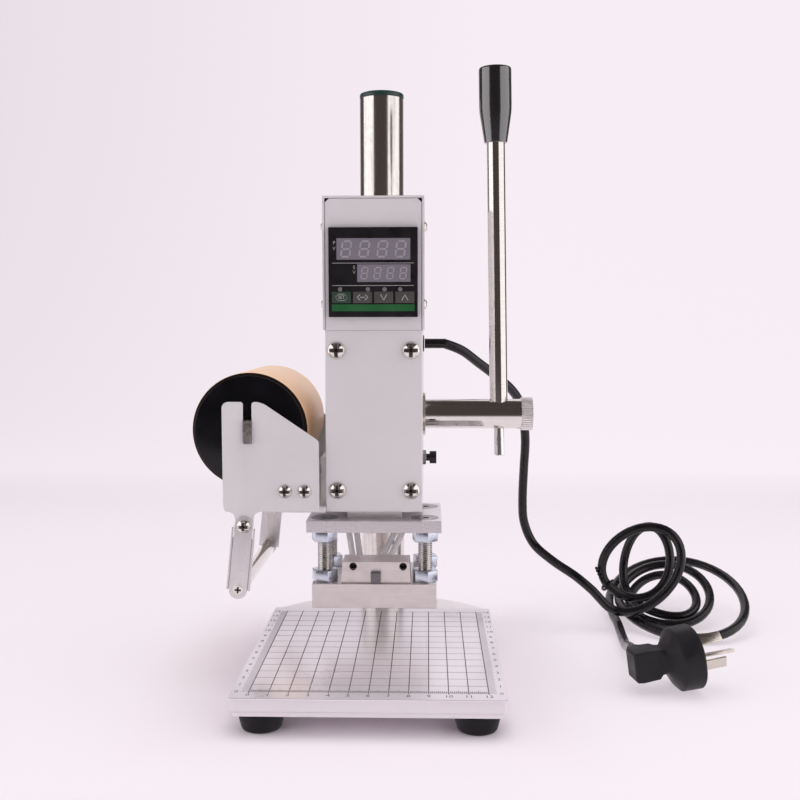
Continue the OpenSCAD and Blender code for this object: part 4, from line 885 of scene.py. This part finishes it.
# Lever and its grip, heights from the shaft's axis
LEVER_LEAN = 1
ROD_PROFILE = [(0, -24.6), (2.6, -24.6), (3, -24.2), (3, 6.3), (5.3, 6.3), (5.3, 177.5), (0, 177.5)]
GRIP_PROFILE = [
    (5.31, 157.5), (6.2, 157.5), (6.6, 157.75), (6.75, 158.3), (8.95, 172.5), (9.3, 175), (9.46, 177.5),
    (9.5, 180), (9.5, 198.9), (9.4, 199.5), (9.1, 200), (8.5, 200.3), (7, 200.7), (4, 201.4), (0, 201.8),
]
lever_spot = place(LEVER_X, SHAFT_Y, SHAFT_Z) @ turn(-LEVER_LEAN, "Y")
turned_piece("hand_lever", ROD_PROFILE, lever_spot, 48, turned_chrome, "lever", "chrome", "lever_rod")
turned_piece("hand_grip", GRIP_PROFILE, lever_spot, 64, grip_black, "lever", "grip_plastic", "lever_grip")

# Foil roll: a disc with its hub at each end, and the film between
DISC_R = 30.5
DISC_RIM = 0.5
DISC_BORE_R = 6.6
HUB_R = 12.69
HUB_RIM = 0.4
DISC_SPANS = ((-104, -101.5), (-13.5, -11))
HUB_SPANS = ((-101.6, -91.5), (-23.5, -13.4))
FILM_R = 32
FILM_BORE_R = 14.51
FILM_SPAN = (-101.5, -13.5)
FILM_RIM = 0.25
roll_spot = place(ROLL_X, 0, ROLL_Z) @ TO_REAR
disc_shape = bmesh.new()
for disc_span, hub_span in zip(DISC_SPANS, HUB_SPANS):
    add_turned(disc_shape, ring_profile(DISC_R, DISC_BORE_R, *disc_span, DISC_RIM), roll_spot, 128)
    add_turned(disc_shape, ring_profile(HUB_R, DISC_BORE_R, *hub_span, HUB_RIM), roll_spot, 96)
piece("roll_flanges", disc_shape, disc_black, "roll", "disc_plastic", "roll_discs")
turned_piece("foil_film", ring_profile(FILM_R, FILM_BORE_R, *FILM_SPAN, FILM_RIM), roll_spot, 160,
             foil_copper, "roll", "foil", "foil_winding")

# Levelling studs with real threads, and their nuts
STUD_PLACES = [(x, y) for x in (-28, 28) for y in (-101, -67)]
STUD_CORE_R = 3.45
STUD_LOW = 50
STUD_HIGH = 93
STUD_HEAD = [(0, 92.2), (4, 92.2), (7.7, 95.9), (7.6, 96), (2.2, 96), (1.8, 93.6), (0, 93.6)]
THREAD_LOW = 50.2
THREAD_HIGH = 90
THREAD_PITCH = 1.25
THREAD_STEPS = 20
THREAD_PROFILE = [(3.38, 0), (3.98, 0.45), (3.98, 0.62), (3.38, THREAD_PITCH)]
NUT_ROWS = (60.5, 83)
NUT_R = 7.506
NUT_H = 6.5
NUT_TURN_LEFT = 18
NUT_TURN_RIGHT = 12


def add_thread(shape, x, y):
    turns = int((THREAD_HIGH - THREAD_LOW) / THREAD_PITCH) + 1
    start = THREAD_LOW - THREAD_PITCH / 2
    line = add_line(shape, [at(x + r, y, start + h) for r, h in THREAD_PROFILE])
    bmesh.ops.spin(shape, geom=line, cent=at(x, y, 0), axis=(0, 0, 1),
                   dvec=(0, 0, THREAD_PITCH / THREAD_STEPS * MM), angle=2 * math.pi * turns,
                   steps=THREAD_STEPS * turns, use_duplicate=False)


stud_shape = bmesh.new()
for x, y in STUD_PLACES:
    add_thread(stud_shape, x, y)
    add_turned(stud_shape, rod_profile(STUD_CORE_R, STUD_LOW, STUD_HIGH, 0.4), place(x, y, 0), 32)
    before = set(stud_shape.faces)
    add_turned(stud_shape, STUD_HEAD, place(x, y, 0), 48)
    for face in set(stud_shape.faces) - before:
        face.material_index = 1
piece("levelling_screws", stud_shape, [stud_steel, stud_dark], "press", "bright_steel",
      "levelling_studs", degrees=45)

nut_shape = bmesh.new()
for x, y in STUD_PLACES:
    for z in NUT_ROWS:
        spot = place(x, y, z + NUT_H / 2) @ turn(NUT_TURN_LEFT if x < 0 else NUT_TURN_RIGHT, "Z")
        bmesh.ops.create_cone(nut_shape, cap_ends=True, cap_tris=False, segments=6, radius1=NUT_R * MM,
                              radius2=NUT_R * MM, depth=NUT_H * MM, matrix=spot)
bevel_edges(nut_shape, sharp_edges(nut_shape), 0.5, 3)
piece("lock_nuts", nut_shape, zinc, "press", "zinc", "stud_nuts")

# Heater leads: woven sleeves from the block up into the housing
LEAD_ENDS = ((-13.4, -21), (-9.2, -16), (3.2, 16), (7.8, 21))
LEAD_R = 1.8
LEAD_ROOT_Y = -91
LEAD_ROOT_Z = 69.9
LEAD_STRAIGHT = 4
LEAD_BELLY = 3
LEAD_TOP_Y = -44.95
LEAD_TOP_ROWS = (90.5, 98, 129)
LEAD_HALF_Z = (LEAD_ROOT_Z + 89.5) / 2
lead_runs = []
for root_x, top_x in LEAD_ENDS:
    halfway = ((root_x + top_x) / 2, (LEAD_ROOT_Y + LEAD_TOP_Y) / 2 + LEAD_BELLY, LEAD_HALF_Z)
    bends = [(root_x, LEAD_ROOT_Y + LEAD_STRAIGHT, LEAD_ROOT_Z), halfway]
    bends += [(top_x, LEAD_TOP_Y, z) for z in LEAD_TOP_ROWS]
    lead_runs.append([at(*p) for p in [(root_x, LEAD_ROOT_Y, LEAD_ROOT_Z)] + smooth_path(bends, 8)])
piece("lead_sleeves", tube_shape("lead_sleeves", lead_runs, LEAD_R, 3), sleeve_white, "press",
      "lead_sleeve", "heater_leads", degrees=60)

# Foil bracket cheeks: one outline of corners with their radii, in front and at the rear
CHEEK_CORNERS = [
    ((-30, 100.5), 0.8), ((-30, 139.6), 1.5), ((-61.5, 161), 3.2), ((-66.6, 161), 1.6),
    ((-66.6, 138), 0.6), ((-71.4, 138), 0.6), ((-71.4, 161), 1.6), ((-83, 161), 3.5),
    ((-83, 104), 1.0), ((-82, 100.5), 1.0), ((-76.4, 100.5), 4.2), ((-76.4, 87.7), 4.9),
    ((-66.4, 87.7), 4.9), ((-66.4, 100.5), 4.2),
]
CHEEK_ROWS = (-110, -4)
CHEEK_T = 1.5


def add_cheek(shape, y):
    before = set(shape.verts)
    corners = [shape.verts.new(at(x, y, z)) for (x, z), _ in CHEEK_CORNERS]
    shape.faces.new(corners)
    for vertex, (_, radius) in zip(corners, CHEEK_CORNERS):
        round_corners(shape, [vertex], radius, 4)
    flat = [f for f in shape.faces if all(v not in before for v in f.verts)]
    pushed = bmesh.ops.extrude_face_region(shape, geom=flat)["geom"]
    bmesh.ops.translate(shape, vec=(0, CHEEK_T * MM, 0), verts=only_verts(pushed))


cheek_shape = bmesh.new()
for y in CHEEK_ROWS:
    add_cheek(cheek_shape, y)
bmesh.ops.recalc_face_normals(cheek_shape, faces=cheek_shape.faces)
bevel_edges(cheek_shape, sharp_edges(cheek_shape, 60), 0.25)
piece("cheek_plates", cheek_shape, white_paint, "head", "white_paint", "bracket_cheeks")

# Front cover with softened edges
cover_shape = bmesh.new()
add_block(cover_shape, (-HEAD_HALF, FRONT_Y, HEAD_Z), (HEAD_HALF, COVER_REAR, HEAD_TOP), 0.6, 3)
piece("cover_sheet", cover_shape, white_paint, "head", "white_paint", "front_cover")

# Controller face: unlit digits, dividing lines with the row marks, green band and lamps
FACE_Y = BEZEL_Y - 0.02
FACE_PRINT_T = 0.08
DIGIT_LEAN = 0.14
DIGIT_GAP = 1.1
# Each row of digits: first place, spacing, level on the bezel, digit's width and height, bar
DIGIT_ROWS = ((-14.4, 9.75, 12.4, 4.7, 8.2, 0.95), (-4.6, 6.95, -0.5, 3.2, 6.0, 0.6))
PANEL_LINE = (44, 0.3)
PANEL_LINE_ROWS = (235.9, 223.9)
ROW_MARKS = ((-20.9, 246.6, "P"), (-20.9, 243.6, "V"), (-10.2, 233.6, "S"), (-10.2, 230.9, "V"))
ROW_MARK_SIZE = 2.6
BAND_Z = 212
BAND_SIZE = (44.6, 3.7)
LAMP_Z = 221.9
LAMP_PLACES = (-17.8, -2.8, 6.2, 14.6)
LAMP_PROFILE = [(0, -0.1), (1.15, -0.1), (1.15, 0.12), (0.9, 0.3), (0, 0.36)]


def face_place(x, z):
    return place(x, FACE_Y, z) @ TO_FRONT


def add_bar(shape, x, z, width, height, tilt=0.0):
    add_box(shape, face_place(x, z) @ Matrix.Rotation(tilt, 4, "Z"), (width, height, FACE_PRINT_T))


# Seven leaning segments: three across and two pairs upright
def add_digit(shape, x, z, width, height, bar):
    for level in (1, 0, -1):
        rise = level * height / 2
        add_bar(shape, x + DIGIT_LEAN * rise, z + rise, width - DIGIT_GAP * bar, bar)
    for level in (0.5, -0.5):
        rise = level * height / 2
        for side in (-1, 1):
            add_bar(shape, x + side * width / 2 + DIGIT_LEAN * rise, z + rise, bar,
                    height / 2 - DIGIT_GAP * bar, -math.atan(DIGIT_LEAN))


digits_shape = bmesh.new()
for index in range(4):
    for first, spacing, level, *sizes in DIGIT_ROWS:
        add_digit(digits_shape, first + index * spacing, BEZEL_Z + level, *sizes)
piece("display_digits", digits_shape, segment_grey, "head", "window_plastic", degrees=20)

panel_shape = bmesh.new()
for z in PANEL_LINE_ROWS:
    add_bar(panel_shape, 0, z, *PANEL_LINE)
for x, z, letter in ROW_MARKS:
    add_words(panel_shape, letter, ROW_MARK_SIZE, face_place(x, z), FACE_PRINT_T)
piece("panel_print", panel_shape, print_grey, "head", "controller_plastic", degrees=20)

band_shape = bmesh.new()
add_bar(band_shape, 0, BAND_Z, *BAND_SIZE)
piece("panel_band", band_shape, band_green, "head", "controller_plastic", degrees=20)

lamp_shape = bmesh.new()
for x in LAMP_PLACES:
    add_turned(lamp_shape, LAMP_PROFILE, face_place(x, LAMP_Z), 24)
piece("indicator_lamps", lamp_shape, lamp_grey, "head", "window_plastic")

# Keys with their printed symbols
KEYS = ("set", "shift", "down", "up")
KEY_Z = 217.6
KEY_PITCH = 11.4
KEY_HALF_W = 5.15
KEY_HALF_H = 3.15
KEY_DEPTH = 2.3
KEY_FACE = BEZEL_Y - 0.3
MARK_Y = KEY_FACE - 0.02
MARK_T = 0.05
MARK_WIDTH = 0.42
MARK_OVERLAP = 0.3
SET_WORDS = 2.5


# Lines of a key's symbol: a rounded frame, a double arrow or a single arrowhead
def key_strokes(key):
    if key == "set":
        angles = [math.radians(15 * step) for step in range(25)]
        ring = [(2.9 * math.copysign(abs(math.cos(a)) ** 0.6, math.cos(a)), 1.75 * math.sin(a))
                for a in angles]
        return list(zip(ring, ring[1:]))
    if key == "shift":
        heads = [((2.9 * side, 0), (1.4 * side, 1.4 * up)) for side in (-1, 1) for up in (1, -1)]
        return heads + [((-1.2, 0), (1.2, 0))]
    way = 1 if key == "up" else -1
    return [((1.6 * side, -1.5 * way), (0, 1.5 * way)) for side in (-1, 1)]


for index, key in enumerate(KEYS):
    x = (index - 1.5) * KEY_PITCH
    shape = bmesh.new()
    add_block(shape, (x - KEY_HALF_W, KEY_FACE, KEY_Z - KEY_HALF_H),
              (x + KEY_HALF_W, KEY_FACE + KEY_DEPTH, KEY_Z + KEY_HALF_H), 0.35)
    front = place(x, MARK_Y, KEY_Z) @ TO_FRONT
    if key == "set":
        add_words(shape, "SET", SET_WORDS, front, MARK_T, 1)
    for start, end in key_strokes(key):
        line = Vector(end) - Vector(start)
        middle = (Vector(start) + Vector(end)) / 2 * MM
        spot = Matrix.Translation((*middle, 0)) @ Matrix.Rotation(math.atan2(line.y, line.x), 4, "Z")
        add_box(shape, front @ spot, (line.length + MARK_OVERLAP, MARK_WIDTH, MARK_T), 1)
    plastic = key_green if key == "set" else key_dark
    piece(f"key_{key}_cap", shape, [plastic, print_grey], f"{key}_key", "key_plastic", f"key_{key}")

# Painted shade in the cross recesses of the pan-head screws that show: dark crosses, their sizes in shares
# of the shank
RECESS_REACH = 1.1
RECESS_WIDTH = 0.3
RECESS_DEPTH = 0.18
PAN_RISE = 0.31
SUNK_RISE = -0.2
COVER_SHANK = 5
COVER_SCREWS = [(x, z) for x in (-20.3, 20.3) for z in (112, 189)]
BRACKET_SHANK = 4
BRACKET_SCREWS = ((-38.1, 111.8), (-48.8, 111.8))
BRACKET_FACES = ((-110, TO_FRONT), (-2.5, TO_REAR))
PIVOT_SCREW = (-71.4, 92.7)
PIVOT_FACES = ((-111.9, TO_FRONT), (-0.6, TO_REAR))
BOX_SHANK = 3
BOX_SCREW_X = 27.5
BOX_SCREW_Y = -99
BOX_SCREW_ROWS = (214, 256)


# A dark cross of painted shade, laid into a screw's cross recess
def add_recess(shape, spot, shank, rise=PAN_RISE):
    lift = spot @ Matrix.Translation((0, 0, rise * shank * MM))
    size = Vector((RECESS_REACH, RECESS_WIDTH, RECESS_DEPTH)) * shank
    for degrees in (0, 90):
        add_box(shape, lift @ turn(degrees, "Z"), size)


recess_shade_shape = bmesh.new()
for x, z in COVER_SCREWS:
    add_recess(recess_shade_shape, place(x, FRONT_Y, z) @ TO_FRONT, COVER_SHANK)
for x, z in BRACKET_SCREWS:
    for y, facing in BRACKET_FACES:
        add_recess(recess_shade_shape, place(x, y, z) @ facing, BRACKET_SHANK)
for y, facing in PIVOT_FACES:
    add_recess(recess_shade_shape, place(PIVOT_SCREW[0], y, PIVOT_SCREW[1]) @ facing, BRACKET_SHANK)
for side in (-1, 1):
    for z in BOX_SCREW_ROWS:
        spot = place(side * BOX_SCREW_X, BOX_SCREW_Y, z) @ turn(side * 90, "Y")
        add_recess(recess_shade_shape, spot, BOX_SHANK)
piece("screw_recess_shade", recess_shade_shape, recess_painted_shade, "head", "black_screw")

# The same painted shade in the two flush screws of the foil guide, whose faces lie at the ends of their
# box
SUNK_SHANK = 2.6
ARM_TURN = turn(6, "Y")
sunk_low, sunk_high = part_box("guide_screws")
sunk_middle = (Vector(sunk_low) + Vector(sunk_high)) / 2
sunk_shape = bmesh.new()
for y, facing in ((sunk_low[1], TO_FRONT), (sunk_high[1], TO_REAR)):
    spot = Matrix.Translation((sunk_middle.x, y, sunk_middle.z)) @ ARM_TURN @ facing
    add_recess(sunk_shape, spot, SUNK_SHANK, SUNK_RISE)
piece("guide_recess_shade", sunk_shape, recess_painted_shade, "guide", "black_screw")

# Finishes of the nodes that keep their own solid
NODE_FINISHES = [
    (white_paint, "slide_housing clamp_cap control_chassis control_cover foil_tray"),
    (screw_nickel, "foot_screws cover_screws friction_nut box_screws floor_screws"),
    (screw_nickel, "bracket_screws guide_screws"),
    (screw_black, "pillar_bolt clamp_bolts friction_screw ram_screws heater_cartridges tray_screws"),
    (bezel_black, "controller_case controller_bezel"),
    (window_grey, "display_windows"),
    (cord_black, "cord_grommet"),
    (bush_bronze, "shaft_bushes"),
    (shaft_chrome, "pinion_shaft"),
    (stud_steel, "pinion_gear spindle"),
    (knurl_nickel, "clamp_knob"),
    (plate_steel, "ram press_plate"),
    (milled_x, "heater_block die_plate"),
    (lock_grey, "lock_screw"),
    (board_tan, "foil_core"),
    (arm_aluminium, "guide_arms"),
    (turned_chrome, "guide_rod"),
]
for material, names in NODE_FINISHES:
    for name in names.split():
        thing = nodes[name]
        if not thing.material_slots:
            thing.data.materials.append(material)
        for entry in thing.material_slots:
            entry.material = material

# Studio: a pale sweep in a dim room, with a tall soft panel on each side
SWEEP_COLOUR = (0.9, 0.835, 0.885)
SWEEP_ROUGHNESS = 0.9
SWEEP_HALF = 4
FLOOR_FRONT = -2.5
BEND_R = 1.2
BEND_STEPS = 10
WALL_TOP = 4
GLOW_COLOUR = (0.935, 0.862, 0.918)
GLOW_FALL = (-1.2, 0.2, 0.9, 1.03)
STAND_HALF = (0.07, 0.085)
STAND_FADE = 0.06
FLOOR_SHARE = 0.55
PAPER_FADE = (0.15, 0.7)
PAPER_SHARE = 0.94
MIRROR_SHARE = 0.9
MIRROR_SIDE = (0.95, 1.6, 1.0, 0.08)
MIRROR_FRONT = (-0.62, -0.4, 0.08, 1.0)


# The sweep glows to the camera away from the stand, and in mirrors beside and behind the machine
def sweep_finish():
    material = new_material("studio sweep")
    tree = material.node_tree
    shader = shader_of(material)
    set_inputs(shader, Base_Color=(*SWEEP_COLOUR, 1), Roughness=SWEEP_ROUGHNESS)
    axes = split_axes(tree, object_place(tree))
    aside = math_node(tree, "ABSOLUTE", axes["X"])
    along = math_node(tree, "ABSOLUTE", axes["Y"])
    rays = add_node(tree, "ShaderNodeLightPath").outputs
    seen = rays["Is Camera Ray"]
    mirrored = math_node(tree, "MAXIMUM", rays["Is Glossy Ray"], rays["Is Transmission Ray"])

    # Strength of the glow for either kind of ray
    lit = math_node(tree, "MULTIPLY", map_range(tree, aside, *MIRROR_SIDE),
                    map_range(tree, axes["Y"], *MIRROR_FRONT))
    shown = math_node(tree, "MULTIPLY", seen, map_range(tree, axes["X"], *GLOW_FALL))
    bounced = math_node(tree, "MULTIPLY", mirrored, lit)
    strength = math_node(tree, "ADD", shown, bounced)
    glow = fed_node(tree, "ShaderNodeEmission", (("Color", GLOW_COLOUR), ("Strength", strength)))

    # Share of the glow, none under the machine, where the shadow falls
    off = math_node(tree, "MAXIMUM", math_node(tree, "SUBTRACT", aside, STAND_HALF[0]),
                    math_node(tree, "SUBTRACT", along, STAND_HALF[1]))
    near = map_range(tree, off, 0.0, STAND_FADE, 0.0, FLOOR_SHARE)
    far = map_range(tree, off, *PAPER_FADE, 0.0, PAPER_SHARE)
    camera_share = math_node(tree, "MULTIPLY", seen, math_node(tree, "MAXIMUM", near, far))
    mirror_share = math_node(tree, "MULTIPLY", mirrored, MIRROR_SHARE)
    share = math_node(tree, "ADD", camera_share, mirror_share)
    surface = mix_shaders(tree, share, shader.outputs[0], glow)
    tree.links.new(surface, tree.nodes["Material Output"].inputs["Surface"])
    return material


sweep_line = [(FLOOR_FRONT, 0), (BEND_R, 0)]
for step in range(1, BEND_STEPS + 1):
    angle = math.pi / 2 * step / BEND_STEPS
    sweep_line.append((BEND_R + BEND_R * math.sin(angle), BEND_R - BEND_R * math.cos(angle)))
sweep_line.append((2 * BEND_R, WALL_TOP))
sweep_shape = bmesh.new()
add_line(sweep_shape, [Vector((-SWEEP_HALF, y, z)) for y, z in sweep_line])
wide = bmesh.ops.extrude_edge_only(sweep_shape, edges=sweep_shape.edges[:])["geom"]
bmesh.ops.translate(sweep_shape, vec=(2 * SWEEP_HALF, 0, 0), verts=only_verts(wide))
bmesh.ops.recalc_face_normals(sweep_shape, faces=sweep_shape.faces)
sweep_mesh = bpy.data.meshes.new("sweep")
sweep_shape.to_mesh(sweep_mesh)
sweep_shape.free()
smooth_by_angle(sweep_mesh)
sweep_mesh.materials.append(sweep_finish())
sweep = bpy.data.objects.new("sweep", sweep_mesh)
scene.collection.objects.link(sweep)

# Soft light all round that is weaker from the front, pale paper to the camera, a dim room in mirrors
AIR_COLOUR = (1.0, 0.95, 0.98)
AIR_STRENGTH = (-1.0, 0.3, 0.17, 0.6)
ROOM_COLOUR = (0.07, 0.056, 0.054)
PAPER_COLOUR = (0.913, 0.847, 0.896)
world = bpy.data.worlds.new("studio")
scene.world = world
world.use_nodes = True
air = world.node_tree
even = air.nodes["Background"]
feed(air, even.inputs["Color"], AIR_COLOUR)
heading = split_axes(air, add_node(air, "ShaderNodeTexCoord").outputs["Generated"])
feed(air, even.inputs["Strength"], map_range(air, heading["Y"], *AIR_STRENGTH))
room = fed_node(air, "ShaderNodeBackground", [("Color", ROOM_COLOUR)])
paper = fed_node(air, "ShaderNodeBackground", [("Color", PAPER_COLOUR)])
air_rays = add_node(air, "ShaderNodeLightPath").outputs
unseen = mix_shaders(air, air_rays["Is Glossy Ray"], even.outputs[0], room)
surround = mix_shaders(air, air_rays["Is Camera Ray"], unseen, paper)
air.links.new(surround, air.nodes["World Output"].inputs["Surface"])

# Lamps: name, place, aim, size, power, and whether mirrors show it
LAMP_COLOUR = (1.0, 0.97, 0.985)
LAMPS = [
    ("top lamp", (0.1, 0.2, 1.5), (0, 0, 0.1), (1.6, 1.2), 12, False),
    ("left panel", (-0.85, -0.3, 0.5), (0, -0.3, 0.5), (1.2, 1.0), 5, True),
    ("right panel", (0.85, -0.45, 0.5), (0, -0.45, 0.5), (1.5, 1.0), 5.5, True),
]
for name, spot, aim, size, power, mirrored in LAMPS:
    lamp_data = bpy.data.lights.new(name, "AREA")
    lamp_data.shape = "RECTANGLE"
    lamp_data.size, lamp_data.size_y = size
    lamp_data.energy = power
    lamp_data.color = LAMP_COLOUR
    lamp = bpy.data.objects.new(name, lamp_data)
    scene.collection.objects.link(lamp)
    lamp.location = spot
    lamp.rotation_euler = (Vector(aim) - Vector(spot)).to_track_quat("-Z", "Y").to_euler()
    lamp.visible_glossy = mirrored

scene.view_settings.view_transform = "Standard"
